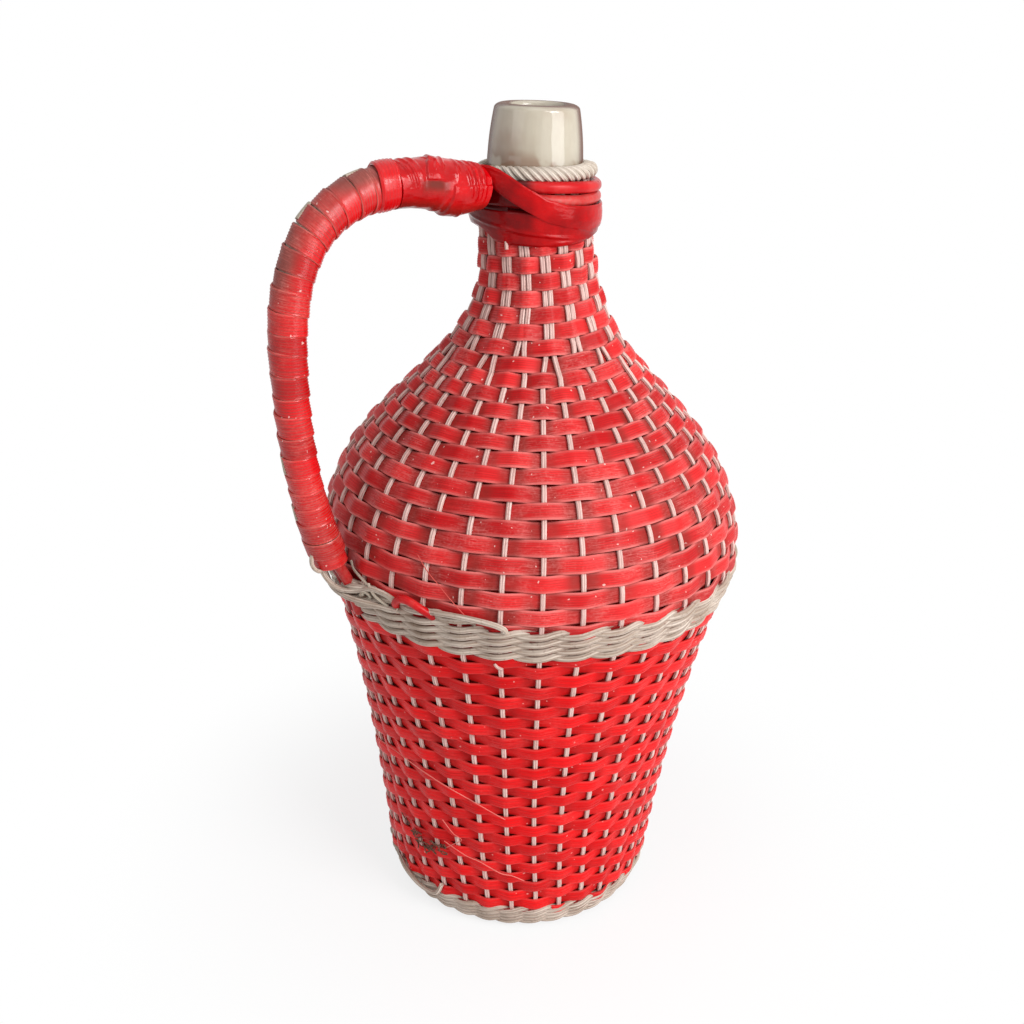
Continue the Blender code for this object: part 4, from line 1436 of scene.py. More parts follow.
@dataclass
class Neck:
    """Rope border, red cord, tape and strap round the neck."""

    line: CoverLine
    rope_radius: float = 0.0235
    rope_z: float = 0.3585
    rope_strands: int = 5
    rope_twists: int = 9
    rope_wide: float = 0.0021
    rope_high: float = 0.0021
    rope_diameter: float = 0.0021
    cord_radius: float = 0.02635
    cord_diameter: float = 0.0049
    cord_loops: int = 2
    cord_pitch: float = 0.0050
    cord_above_line: float = 0.0004
    cord_sway: float = 0.00025
    tape_top: float = 0.3448
    strap_thickness: float = 0.0011

    # degrees up to which the strap stands off the neck, and up to which the tape behind it gets painted
    # shade
    SHADED_TO = 226
    # height of the tape's top there, and its radius low down
    TAPE_HIGH = 0.3535
    TAPE_RADIUS = 0.0266
    # how much the tape swells, the height from which it does, and over how much height
    TAPE_SWELL = 0.0023
    TAPE_LOW = 0.3290
    TAPE_SLOPE = 0.0125
    TAPE_INSIDE = 0.0245
    FOLD_WIDTH = 0.0007
    CRUMPLE = 0.0002
    # how high the strap's crown, its lip and its ripple stand
    STRAP_CROWN = 0.0006
    STRAP_LIP = 0.0003
    STRAP_RIPPLE = 0.00025
    # how far the tape's lower edge is rolled in, and over how much height
    HEM = 0.0009
    HEM_HEIGHT = 0.0008

    # degrees, height of the tape's lower edge
    TAPE_EDGE = ((140, 0.3335), (155, 0.3350), (173, 0.3352), (181, 0.3337), (190, 0.3306), (204, 0.3297),
                 (245, 0.3295), (264, 0.3300), (279, 0.3305), (303, 0.3323), (320, 0.3332), (340, 0.3312),
                 (485, 0.3312), (500, 0.3335))
    # from degrees, to degrees, height there, height here, how far it stands out
    TAPE_FOLDS = ((232, 300, 0.3425, 0.3338, 0.0006), (205, 300, 0.3362, 0.3316, 0.0007),
                  (150, 232, 0.3405, 0.3350, 0.0006), (236, 285, 0.3310, 0.3322, 0.0005),
                  (300, 420, 0.3400, 0.3370, 0.0005), (420, 500, 0.3380, 0.3410, 0.0005))
    # degrees, upper edge, lower edge, radius
    STRAP_LAY = ((170, 0.3604, 0.3560, 0.0316), (184, 0.3614, 0.3556, 0.0321), (190, 0.3618, 0.3548, 0.0321),
                 (197, 0.3617, 0.3537, 0.0317), (204, 0.3606, 0.3512, 0.0311), (213, 0.3582, 0.3484, 0.0306),
                 (225, 0.3544, 0.3450, 0.0302), (243, 0.3495, 0.3402, 0.0298), (261, 0.3469, 0.3380, 0.0295),
                 (283, 0.3460, 0.3362, 0.0292), (301, 0.3456, 0.3357, 0.0290), (330, 0.3456, 0.3360, 0.0288),
                 (344, 0.3452, 0.3372, 0.0284))

    def make(self, shop: Workshop) -> None:
        """Build every piece of the neck.

        Args:
            shop: The workshop.
        """
        self.rope(shop)
        self.cord(shop)
        self.tape(shop)
        self.strap(shop)

    def _coarseness(self, angle: float) -> float:
        """How coarse the border is at an angle: more at the front, less at the back."""
        coarse = 0.86 + 0.14 * math.cos(angle - 4.4) + 0.25 * hump(angle, 5.3, 0.3)
        return coarse - 0.42 * hump(angle, 2.6, 0.75)

    def rope(self, shop: Workshop) -> None:
        """White border of twisted strands, coarser on one side.

        Args:
            shop: The workshop.
        """
        paths = []
        count = self.rope_twists * 20
        for strand in range(self.rope_strands):
            points, facing = [], []
            for angle in turn_angles(count):
                turn = -self.rope_twists * angle + 2 * math.pi * strand / self.rope_strands
                out, up = math.cos(turn), math.sin(turn)
                coarse = self._coarseness(angle)
                points.append(leant(polar(self.rope_radius + self.rope_wide * coarse * out, angle,
                                          self.rope_z + self.rope_high * (coarse * (up + 1) - 1))))
                facing.append(polar(out, angle, up))
            paths.append(Path(points, facing, {"lift": [0.2] * count}, True))
        shop.sweep("neck_rope", Kind.CORD, paths, Section(self.rope_diameter, ribs=7, rib_depth=0.0001),
                   ROPE_WHITE, "cord_white", "neck_border")

    def cord(self, shop: Workshop) -> None:
        """Round red cord, twice about the neck, dusty below, with painted shade behind the strap.

        Args:
            shop: The workshop.
        """
        first_z = self.line.points[-1].y + self.cord_above_line - self.cord_diameter / 2
        per_loop = 48
        points, facing, lift, grime_and_shade = [], [], [], []
        for i in range(-4, per_loop * self.cord_loops + 5):
            angle = math.pi + 2 * math.pi * i / per_loop
            sway = self.cord_sway * math.sin(3 * angle + i * 0.05)
            height = first_z - self.cord_pitch * min(max(i / per_loop, 0), self.cord_loops) + sway
            points.append(leant(polar(self.cord_radius, angle, height)))
            facing.append(polar(1, angle, 0))
            lift.append(0.4 if i < per_loop else -0.35)
            degrees = math.degrees(angle) % 360
            # painted shade where the cord runs behind the strap
            grime_and_shade.append(1 - ease((degrees - 222) / 14) if degrees > 160 else 0.0)
        path = Path(points, facing, {"lift": lift, "grime_and_shade": grime_and_shade})
        section = Section(self.cord_diameter, ribs=10)
        shop.sweep("neck_tubes", Kind.CORD, [path], section, TUBE_RED, "rod_red", "neck_cord")

    def tape(self, shop: Workshop) -> None:
        """Wrinkled tape under the cord.

        Args:
            shop: The workshop.
        """
        around, up = 240, 52
        rings, lifts, grime_and_shade_marks = [], [], []
        for i in range(around):
            degrees = self.TAPE_EDGE[0][0] + 360 * i / around
            angle = math.radians(degrees)
            low = between(self.TAPE_EDGE, degrees)[0]
            behind = ease((degrees - 150) / 12) * (1 - ease((degrees - self.SHADED_TO) / 12))
            top = self.tape_top + (self.TAPE_HIGH - self.tape_top) * behind
            ring = []
            for height in spread(top, low, up):
                fold = sum(self._fold(f, degrees, height) for f in self.TAPE_FOLDS)
                crumple = noise.noise(Vector((math.cos(angle) * 2, math.sin(angle) * 2, height * 260)))
                hem = self.HEM * ease((height - low) / self.HEM_HEIGHT) - self.HEM
                gap = behind * hump(height, self.tape_top, 0.0009)
                swell = self.TAPE_SWELL * ease((height - self.TAPE_LOW) / self.TAPE_SLOPE)
                radius = self.TAPE_RADIUS + swell + fold + self.CRUMPLE * crumple + hem
                radius = radius + 0.0009 * behind * ease((height - 0.342) / 0.004) - 0.002 * gap
                ring.append(leant(polar(radius, angle, height)))
                # painted shade on the tape behind the strap, and painted dark shade in the groove under its
                # lower edge
                shade = 0.45 * behind * ease((height - 0.3325) / 0.006)
                shade += 0.3 * behind * ease((height - 0.3425) / 0.002)
                grime_and_shade_marks.append(max(shade, gap))
            rings.append(ring + [leant(polar(self.TAPE_INSIDE, angle, height)) for height in (low, top)])
            lifts += [0.5] * (up + 3)
            grime_and_shade_marks += [0.0, 0.0]
        shop.skin("wrinkled_neck_tape", rings, True, {"lift": lifts, "grime_and_shade": grime_and_shade_marks}, NECK_RED, "tape_red",
                  "neck_tape")

    def _fold(self, fold: tuple[float, ...], degrees: float, height: float) -> float:
        """How far one slanting fold lifts the tape at a spot.

        Args:
            fold: A row of TAPE_FOLDS.
            degrees: The spot's angle.
            height: The spot's height.

        Returns:
            The lift in metres.
        """
        first, last, there, here, stand = fold
        share = (degrees - first) / (last - first)
        if not 0 < share < 1:
            return 0.0
        line = there + (here - there) * share
        return stand * math.sin(math.pi * share) ** 0.5 * hump(height, line, self.FOLD_WIDTH)

    def strap(self, shop: Workshop) -> None:
        """Broad flat strap from the handle across the front of the neck, with a raised upper lip tinted pale
        as a faint painted highlight, and painted shade on its underside and near end.

        Args:
            shop: The workshop.
        """
        steps, across = 120, 16
        rings, lifts, grime_and_shade_marks = [], [], []
        for degrees in spread(self.STRAP_LAY[0][0], self.STRAP_LAY[-1][0], steps):
            high, low, radius = between(self.STRAP_LAY, degrees)
            angle = math.radians(degrees)
            tuck = self.STRAP_CROWN * ease((degrees - self.SHADED_TO) / 20)
            ring = []
            for j in range(across + 1):
                share = j / across
                crown = self.STRAP_CROWN * math.sin(math.pi * share) ** 0.6
                crown -= tuck * ease((share - 0.6) / 0.4)
                lip = self.STRAP_LIP * hump(share, 0.08, 0.06)
                ripple = self.STRAP_RIPPLE * noise.noise(Vector((degrees * 0.06, share * 2.5, 3.0)))
                ring.append(leant(polar(radius + crown + lip + ripple, angle, high + (low - high) * share)))
                # the lip's pale dust tint is a faint painted highlight
                lifts.append(-0.25 if share < 0.07 else 0.5)
                # painted shade on the strap's lower part near the handle
                grime_and_shade_marks.append(0.35 * (1 - ease((degrees - 205) / 30)) * ease((share - 0.2) / 0.8))
            for share in (0.97, 0.03):
                ring.append(leant(polar(radius - self.strap_thickness, angle, high + (low - high) * share)))
            lifts += [0.5, 0.5]
            # painted shade on the strap's underside
            grime_and_shade_marks += [0.8, 0.8]
            rings.append(ring)
        shop.skin("neck_flat_strap", rings, False, {"lift": lifts, "grime_and_shade": grime_and_shade_marks}, NECK_RED, "tape_red",
                  "neck_strap")


# Handle

class HandleLine(SampledLine):
    """Centre line of the handle, from the neck to the waist, in the plane y = 0."""

    CROWN = ((0.0311, 0.3523), (0.0931, 0.3635), (0.1240, 0.3510), (0.1240, 0.2940))
    SIDE = ((0.1240, 0.2940), (0.1240, 0.2490), (0.1097, 0.2080), (0.1037, 0.1805))
    CORE_ENDS_AT = 0.2065

    def __init__(self) -> None:
        """Sample the line finely."""
        points = [bezier([Vector(p) for p in self.CROWN], i / 80) for i in range(80)]
        super().__init__(points + [bezier([Vector(p) for p in self.SIDE], i / 80) for i in range(81)])
        length = self.distances[-1]
        self.core_end = next(d for p, d in zip(self.points, self.distances)
                             if p.y < self.CORE_ENDS_AT and d > length / 2)

    def at(self, distance: float) -> tuple[Vector, Vector, Vector]:
        """Point, direction along, and direction away from the bottle, at a distance."""
        point, along = self.sample(distance)
        return Vector((-point.x, 0, point.y)), Vector((-along.x, 0, along.y)), Vector((along.y, 0, along.x))

    def around(self, distance: float, turn: float, radius: float) -> tuple[Vector, Vector]:
        """Point on a circle round the line, and the direction outward there.

        Args:
            distance: How far along the line.
            turn: Angle round it, from the side away from the bottle.
            radius: The circle's radius.

        Returns:
            The point and the direction.
        """
        centre, _, away = self.at(distance)
        out = away * math.cos(turn) + Vector((0, math.sin(turn), 0))
        return centre + out * radius, out


@dataclass
class Handle:
    """Core, wound strip, tape sleeve, and the two tubes that reach the waist."""

    way: HandleLine
    core_diameter: float = 0.0130
    strip_width: float = 0.0086
    strip_thickness: float = 0.0009
    loose_turns: int = 6
    rod_diameter: float = 0.0050
    rod_gap: float = 0.0002
    seed: int = 11
    core_starts_at: float = 0.0045

    # how deep the core lies under the binding's outside
    CORE_DEPTH = 0.0012
    # turn, depth and section of the places where it shows
    BARE_TURN = math.radians(20)
    BARE_DEPTH = 0.0003
    BARE_SECTION = Section(0.0042, 0.0008, ribs=4, rib_depth=0.0001, crown=0.0002, rounding=0.0002)
    # how steeply the strip stands on edge, on the loose turns and on the others
    LOOSE_SLOPE = 0.11
    FIRM_SLOPE = 0.065
    # the sleeve's ends along the handle, and the degrees at which its flap and its seam meet
    SLEEVE_SPAN = (0.0030, 0.0455)
    FLAP_EDGE = -78
    # the end turn: distance along the handle, slant, the turn it slants to, radius and section
    END_TURN_AT = 0.0485
    END_TURN_SLANT = 0.0018
    END_TURN_TO = 1.22
    END_TURN_RADIUS = 0.0087
    END_TURN_OUT = 0.0005
    END_TURN_SECTION = Section(0.0092, 0.0010, ribs=6, rib_depth=0.00032, crown=0.0004, rounding=0.0003)
    # turn at which each winding starts
    LEFT = math.radians(27)
    # distance along the handle, outer radius, shift towards the bottle
    LAY = ((0.050, 0.0086, 0.0), (0.062, 0.0085, 0.0), (0.092, 0.0080, 0.0004), (0.101, 0.0078, 0.0006),
           (0.115, 0.0079, 0.0004), (0.129, 0.0076, 0.0004), (0.148, 0.0072, 0.0005),
           (0.164, 0.0071, -0.0002), (0.189, 0.0071, -0.0008), (0.204, 0.0075, -0.0007),
           (0.213, 0.0079, -0.0005), (0.220, 0.0083, 0.0), (0.2265, 0.0070, 0.0006),
           (0.2335, 0.0050, 0.0015))
    # where each turn's edge lies on the outer side, and how wide the strip lies there
    TURNS = ((0.0476, 0.0084), (0.0545, 0.0084), (0.0624, 0.0082), (0.0695, 0.0082), (0.0770, 0.0080),
             (0.0845, 0.0082), (0.0920, 0.0092), (0.1007, 0.0070), (0.1063, 0.0088), (0.1145, 0.0090),
             (0.1229, 0.0076), (0.1291, 0.0104), (0.1391, 0.0094), (0.1481, 0.0080), (0.1550, 0.0098),
             (0.1644, 0.0090), (0.1730, 0.0090), (0.1815, 0.0080), (0.1887, 0.0082), (0.1962, 0.0080),
             (0.2035, 0.0094), (0.2130, 0.0080), (0.2200, 0.0072), (0.2265, 0.0066))
    # distance, radius and drop of the sleeve
    SLEEVE = ((0.0, 0.0087, 0.0), (0.005, 0.0091, 0.0003), (0.009, 0.0097, 0.0008), (0.013, 0.0103, 0.0013),
              (0.017, 0.0107, 0.0015), (0.021, 0.0108, 0.0015), (0.025, 0.0105, 0.0010),
              (0.029, 0.0101, 0.0003), (0.033, 0.0097, 0.0001), (0.037, 0.0094, 0.0), (0.046, 0.0093, 0.0))
    # fold's distance, slant, width, height, and the degrees round the handle between which it runs
    FOLDS = ((0.0068, 0.0010, 0.0005, 0.0007, -125, 35), (0.0092, 0.0016, 0.0005, 0.0010, -112, 25),
             (0.0120, 0.0024, 0.0006, 0.0011, -118, 12), (0.0152, 0.0034, 0.0007, 0.0009, -108, 0),
             (0.0195, -0.0030, 0.0008, 0.0006, -80, 10), (0.0250, -0.0050, 0.0007, 0.0007, -62, 24),
             (0.0290, -0.0030, 0.0006, 0.0006, -58, -5), (0.0300, 0.0050, 0.0005, 0.0006, -50, 10),
             (0.0375, 0.0024, 0.0008, 0.0007, -92, 40), (0.0402, 0.0036, 0.0006, 0.0008, -100, 30),
             (0.0428, 0.0044, 0.0005, 0.0006, -90, 20), (0.0262, -0.0040, 0.0009, 0.0006, -190, -100),
             (0.0150, 0.0030, 0.0009, 0.0005, -200, -120))
    # where the core shows through: from and to along the handle
    BARE = ((0.0560, 0.0622), (0.0772, 0.0838), (0.1735, 0.1812), (0.1964, 0.2026))

    def make(self, shop: Workshop) -> None:
        """Build every piece of the handle.

        Args:
            shop: The workshop.
        """
        self.core(shop)
        self.binding(shop)
        self.bare_patches(shop)
        self.sleeve(shop)
        self.end_turn(shop)
        self.rods(shop)
        self.lashings(shop)

    def skin_point(self, distance: float, turn: float, below: float) -> tuple[Vector, Vector]:
        """Point at a depth under the binding's outside, and the direction outward there.

        Args:
            distance: How far along the handle.
            turn: Angle round it.
            below: The depth.

        Returns:
            The point and the direction.
        """
        radius, shift = between(self.LAY, distance)
        point, out = self.way.around(distance, turn, radius - below)
        return point - self.way.at(distance)[2] * shift, out

    def core(self, shop: Workshop) -> None:
        """Grey core inside the binding.

        Args:
            shop: The workshop.
        """
        points, facing, swell = [], [], []
        for distance in spread(self.core_starts_at, self.way.core_end, 90):
            centre, _, away = self.way.at(distance)
            radius, shift = between(self.LAY, distance)
            points.append(centre - away * shift)
            facing.append(away)
            swell.append((radius - self.CORE_DEPTH) / (self.core_diameter / 2))
        section = Section(self.core_diameter, ribs=16, rib_depth=0.0002)
        shop.sweep("bare_core", Kind.CORD, [Path(points, facing, {"swell": swell})], section, CORE_GREY,
                   "core_grey", "handle_core")

    def binding(self, shop: Workshop) -> None:
        """Ribbed strip wound down the handle, nearly flush, its edges proud here and there.

        Args:
            shop: The workshop.
        """
        rng = random.Random(self.seed)
        shades = [rng.random() for _ in range(len(self.TURNS))]
        per_turn = 40
        points, facing, marks = [], [], {"lift": [], "tone": [], "swell": []}
        for i in range(per_turn * (len(self.TURNS) - 1) + 1):
            number = min(i // per_turn, len(self.TURNS) - 2)
            share = i / per_turn - number
            (edge, width), (next_edge, next_width) = self.TURNS[number], self.TURNS[number + 1]
            lag = share - 0.125 * (1 - math.cos(2 * math.pi * share))
            width += (next_width - width) * share
            distance = edge + (next_edge - edge) * lag + width / 2
            turn = self.LEFT - 2 * math.pi * share
            point, out = self.skin_point(distance, turn, self.strip_thickness * 0.75)
            slope = self.LOOSE_SLOPE if number < self.loose_turns else self.FIRM_SLOPE
            proud = slope * math.cos(turn - self.LEFT)
            points.append(point)
            facing.append((out + self.way.at(distance)[1] * proud).normalized())
            # the outer side takes the dark dust colour: dust, with painted shade on that dim side
            dust_and_shade = 1.25 - ease((distance - 0.085) / 0.05) * 0.85
            marks["lift"].append(0.5 - 1.1 * dust_and_shade * max(0.0, math.cos(turn + 0.1)) ** 1.3)
            shade, next_shade = shades[number], shades[number + 1]
            marks["tone"].append(shade + (next_shade - shade) * ease(share * 3 - 2))
            marks["swell"].append(width / self.strip_width)
        section = Section(self.strip_width, self.strip_thickness, ribs=7, rib_depth=0.00026,
                          rounding=0.00012)
        shop.sweep("handle_binding", Kind.STRIP, [Path(points, facing, marks)], section, BINDING_RED,
                   "winding_red", "handle_winding")

    def bare_patches(self, shop: Workshop) -> None:
        """Pale places on the outer side where the core shows between two turns.

        Args:
            shop: The workshop.
        """
        paths = []
        for low, high in self.BARE:
            spots = [self.skin_point(d, self.BARE_TURN, self.BARE_DEPTH) for d in spread(low, high, 8)]
            paths.append(Path([point for point, _ in spots], [out for _, out in spots]))
        shop.sweep("core_showing", Kind.STRIP, paths, self.BARE_SECTION, CORE_GREY, "core_grey")

    def sleeve(self, shop: Workshop) -> None:
        """Stretched tape over the upper end, with a lifted flap, a seam and tension folds.

        Args:
            shop: The workshop.
        """
        around, steps = 132, 150
        rings, lifts, grime_and_shade_marks = [], [], []
        for distance in spread(*self.SLEEVE_SPAN, steps):
            base, drop = between(self.SLEEVE, distance)
            ring = []
            for j in range(around):
                degrees = 120 - 360 * j / around
                turn = math.radians(degrees)
                radius = base + self._raised(distance, degrees)
                radius += sum(self._fold(fold, distance, degrees) for fold in self.FOLDS)
                ring.append(self.way.around(distance, turn, radius)[0] - self.way.at(distance)[2] * drop)
                # the patch under the flap is dusty and darker; the back of the sleeve gets painted shade
                under = ease((0.0385 - distance) / 0.006) * ease((distance - 0.0230) / 0.006)
                under *= ease((self.FLAP_EDGE + 1 - degrees) / 3) * ease((degrees + 114) / 14)
                back = ease((-104 - degrees) / 45) * ease((degrees + 240) / 40)
                lifts.append(0.5 - 3.0 * under)
                grime_and_shade_marks.append(0.85 * under * ease((degrees + 108) / 20) + 0.6 * back)
            rings.append(ring)
        shop.skin("handle_sleeve", rings, False, {"lift": lifts, "grime_and_shade": grime_and_shade_marks}, TAPE_RED, "tape_red",
                  "handle_tape")

    def _raised(self, distance: float, degrees: float) -> float:
        """How far the flap, the seam and small crumples lift the sleeve at a spot.

        Args:
            distance: The spot's place along the handle.
            degrees: Its angle round the handle.

        Returns:
            The lift in metres.
        """
        turn = math.radians(degrees)
        flap_end = 0.0285 + 0.0062 * ease((27 - degrees) / 95)
        flap = ease((flap_end - distance) / 0.0006) * ease((degrees - self.FLAP_EDGE) / 4)
        flap *= ease((distance - 0.0235) / 0.006)
        seam = ease((0.0230 - distance) / 0.0006) * ease((self.FLAP_EDGE - degrees) / 5)
        seam *= ease((degrees + 215) / 40)
        spot = Vector((math.cos(turn) * 1.2, math.sin(turn) * 1.2, distance * 70))
        crumple = noise.noise(spot) + 0.4 * noise.noise(spot * 2.6)
        return 0.0009 * flap + 0.0008 * seam + 0.0004 * crumple

    @staticmethod
    def _fold(fold: tuple[float, ...], distance: float, degrees: float) -> float:
        """How far one fold lifts the sleeve at a spot.

        Args:
            fold: A row of FOLDS.
            distance: The spot's place along the handle.
            degrees: Its angle round the handle.

        Returns:
            The lift in metres.
        """
        middle, slant, width, stand, low, high = fold
        share = (degrees - low) / (high - low)
        if not 0 < share < 1:
            return 0.0
        away = distance - middle - slant * (share - 0.5)
        return stand * math.sin(math.pi * share) * hump(away, 0.0, width)

    def end_turn(self, shop: Workshop) -> None:
        """Bright ribbed turn that holds the sleeve's far end.

        Args:
            shop: The workshop.
        """
        points, facing = [], []
        for turn in turn_angles(56):
            distance = self.END_TURN_AT - self.END_TURN_SLANT * math.cos(turn - self.END_TURN_TO)
            point, out = self.way.around(distance, turn, self.END_TURN_RADIUS)
            points.append(point + self.way.at(distance)[2] * self.END_TURN_OUT)
            facing.append((out - self.way.at(distance)[1] * 0.03).normalized())
        path = Path(points, facing, {"tone": [0.9] * len(points)}, True)
        shop.sweep("sleeve_end_turn", Kind.STRIP, [path], self.END_TURN_SECTION, TURN_RED, "winding_red")

    def rods(self, shop: Workshop) -> None:
        """Two red tubes from inside the binding to behind the waist band.

        Args:
            shop: The workshop.
        """
        knots = [Vector(p) for p in ((-0.1130, 0, 0.2130), (-0.1085, 0, 0.2040), (-0.1041, 0, 0.1960),
                                     (-0.1003, 0, 0.1881), (-0.0983, 0, 0.1810), (-0.0965, 0, 0.1745))]
        section = Section(self.rod_diameter, ribs=12)
        # the back tube gets painted shade through its grime mark
        for name, side, node, lift, grime_and_shade in (("waist_tube_front", -1, "handle_rod_front", -0.25, 0.0),
                                              ("waist_tube_back", 1, "handle_rod_back", 0.4, 0.4)):
            shift = Vector((0, side * (self.rod_diameter + self.rod_gap) / 2, 0))
            points = [p + shift for p in smooth_through(knots, 5)]
            count = len(points)
            marks = {"lift": [lift] * count, "grime_and_shade": [grime_and_shade] * count}
            path = Path(points, [Vector((-1, 0, 0))] * count, marks)
            shop.sweep(name, Kind.CORD, [path], section, TUBE_RED, "rod_red", node)

    def lashings(self, shop: Workshop) -> None:
        """White cords that hold the tubes: two over them into the band, one at the binding's end.

        Args:
            shop: The workshop.
        """
        over = ((-0.1128, 0.0012, 0.2010), (-0.1118, 0.0006, 0.1965), (-0.1090, -0.0002, 0.1915),
                (-0.1058, -0.0028, 0.1886), (-0.1034, -0.0062, 0.1884), (-0.1007, -0.0108, 0.1898),
                (-0.0989, -0.0170, 0.1926), (-0.0968, -0.0245, 0.1930), (-0.0950, -0.0312, 0.1916))
        under = ((-0.0860, 0.0490, 0.1850), (-0.0985, 0.0250, 0.1860), (-0.1045, 0.0080, 0.1862),
                 (-0.1052, -0.0020, 0.1858), (-0.1035, -0.0110, 0.1862), (-0.0995, -0.0205, 0.1868),
                 (-0.0945, -0.0310, 0.1872))
        loop = ((-0.1150, -0.0015, 0.2120), (-0.1180, -0.0020, 0.2078), (-0.1186, -0.0025, 0.2040),
                (-0.1172, -0.0030, 0.2010), (-0.1146, -0.0030, 0.1998), (-0.1118, -0.0022, 0.2022),
                (-0.1100, -0.0012, 0.2060))
        for name, knots, diameter, nodes in (("tie_cord_1", over, 0.0022, ("rod_lashing_1",)),
                                             ("tie_cord_2", under, 0.0024, ("rod_lashing_2",)),
                                             ("tie_cord_loop", loop, 0.0017, ())):
            points = smooth_through([Vector(p) for p in knots], 6)
            shop.sweep(name, Kind.CORD, [Path(points, level_outward(points))], cord_section(diameter),
                       BAND_WHITE, "cord_white", *nodes)


# Bottle and base

@dataclass
class Bottle:
    """Glass bottle with a milky collar, its wall open at the mouth."""

    line: CoverLine
    standoff: float = 0.00305
    wall: float = 0.0030
    base: float = 0.0038
    heel: float = 0.0120
    punt: float = 0.0110
    collar_low: float = 0.3620
    collar_top: float = 0.3842
    lip_radius: float = 0.0180
    neck_radius: float = 0.0202
    mouth_radius: float = 0.0120
    land: float = 0.0020
    waved_outside: float = 0.0130
    around: int = 144
    rounding: float = 0.0024
    collar_height: float = 0.0200
    collar_swell: float = 0.00035
    bore_ends_at: float = 0.3460
    shaded_below: float = 0.3510
    seam_degrees: float = 239.0
    seam_from: float = 0.3600

    HEEL_STEPS = 8
    BELLY_STEPS = 89
    COLLAR_STEPS = 12

    def profile(self) -> list[tuple[float, float]]:
        """Radius and height round the wall, outside from the base up and inside back down."""
        heel_radius = self.line.at(self.line.distance_at(self.base + self.heel), -self.standoff)[0]
        punt_radius = heel_radius - self.heel
        outer = [(0.0, self.base + self.punt)]
        outer += [(punt_radius * s, self.base + self.punt * (1 - s ** 3)) for s in (0.35, 0.6, 0.8, 0.92)]
        for turn in spread(0.0, math.pi / 2, self.HEEL_STEPS):
            outer.append((punt_radius + self.heel * math.sin(turn),
                          self.base + self.heel - self.heel * math.cos(turn)))
        belly = len(outer)
        first = self.line.distance_at(self.base + self.heel + 0.004)
        for distance in spread(first, self.line.neck, self.BELLY_STEPS):
            outer.append(self.line.at(distance, -self.standoff))
        inner = [(r - self.wall, z) for r, z in reversed(outer[belly:belly + self.BELLY_STEPS - 3])]
        outer += self.collar()
        floor_z = self.base + self.wall
        inner.append((punt_radius, floor_z))
        inner += [(heel_radius * s, floor_z + self.punt * (1 - s ** 3)) for s in (0.7, 0.45, 0.2)]
        inner.append((0.0, floor_z + self.punt))
        return outer + self.mouth() + inner

    def collar(self) -> list[tuple[float, float]]:
        """The collar's outside, up to the lip."""
        run = [(self.neck_radius, self.collar_low - 0.004), (self.neck_radius + 0.0002, self.collar_low)]
        for i in range(1, self.COLLAR_STEPS):
            share = i / self.COLLAR_STEPS
            radius = self.neck_radius + (self.lip_radius - self.neck_radius) * share
            run.append((radius + self.collar_swell * math.sin(math.pi * share),
                        self.collar_low + self.collar_height * share))
        flat = self.mouth_radius + self.land
        for turn in spread(0.0, math.pi / 2, 7):
            run.append((flat + (self.lip_radius - flat) * math.cos(turn),
                        self.collar_top - self.rounding + self.rounding * math.sin(turn)))
        return run

    def mouth(self) -> list[tuple[float, float]]:
        """The mouth's bore, down to the neck's inside."""
        run = []
        for turn in spread(0.0, math.pi / 2, 6)[1:]:
            run.append((self.mouth_radius + self.land * (1 - math.sin(turn)),
                        self.collar_top - self.land * (1 - math.cos(turn))))
        return run + [(self.mouth_radius, self.collar_low), (self.mouth_radius + 0.0010, self.bore_ends_at)]

    def ring(self, radius: float, height: float) -> list[Vector]:
        """Points round the axis, with the mould seam and a slight wave at the collar.

        Args:
            radius: The ring's radius, or 0 for its one point on the axis.
            height: Its height.

        Returns:
            The points.
        """
        if radius == 0.0:
            return [Vector((0.0, 0.0, height))]
        seamed = height > self.seam_from
        waved = height > self.collar_low and radius > self.waved_outside
        points = []
        for angle in turn_angles(self.around):
            seam = 0.00012 * hump(math.degrees(angle), self.seam_degrees, 1.5) if seamed else 0.0
            wave = 0.00018 * math.sin(2 * angle + height * 60) if waved else 0.0
            points.append(leant(polar(radius + seam + wave, angle, height)))
        return points

    def make(self, shop: Workshop) -> None:
        """Spin the profile into the wall.

        Args:
            shop: The workshop.
        """
        points, faces, rings = [], [], []
        for radius, height in self.profile():
            ring = self.ring(radius, height)
            rings.append(range(len(points), len(points) + len(ring)))
            points += [tuple(p) for p in ring]
        for low, high in zip(rings, rings[1:]):
            for i in range(self.around):
                j = (i + 1) % self.around
                if len(low) == 1:
                    faces.append((low[0], high[j], high[i]))
                elif len(high) == 1:
                    faces.append((low[i], low[j], high[0]))
                else:
                    faces.append((low[i], low[j], high[j], high[i]))
        mesh = bpy.data.meshes.new("bottle_glass")
        mesh.from_pydata(points, [], faces)
        mesh.materials.append(shop.finish(GlassFinish()))
        mesh.materials.append(shop.finish(SHADED_GLASS))
        mesh.shade_smooth()
        # glass below shaded_below takes the painted shade and red reflection
        for face in mesh.polygons:
            face.material_index = int(face.center.z < self.shaded_below)
        shop.hand_over(put_in_scene("bottle_glass", mesh), "glass", "glass_bottle")


# Studio

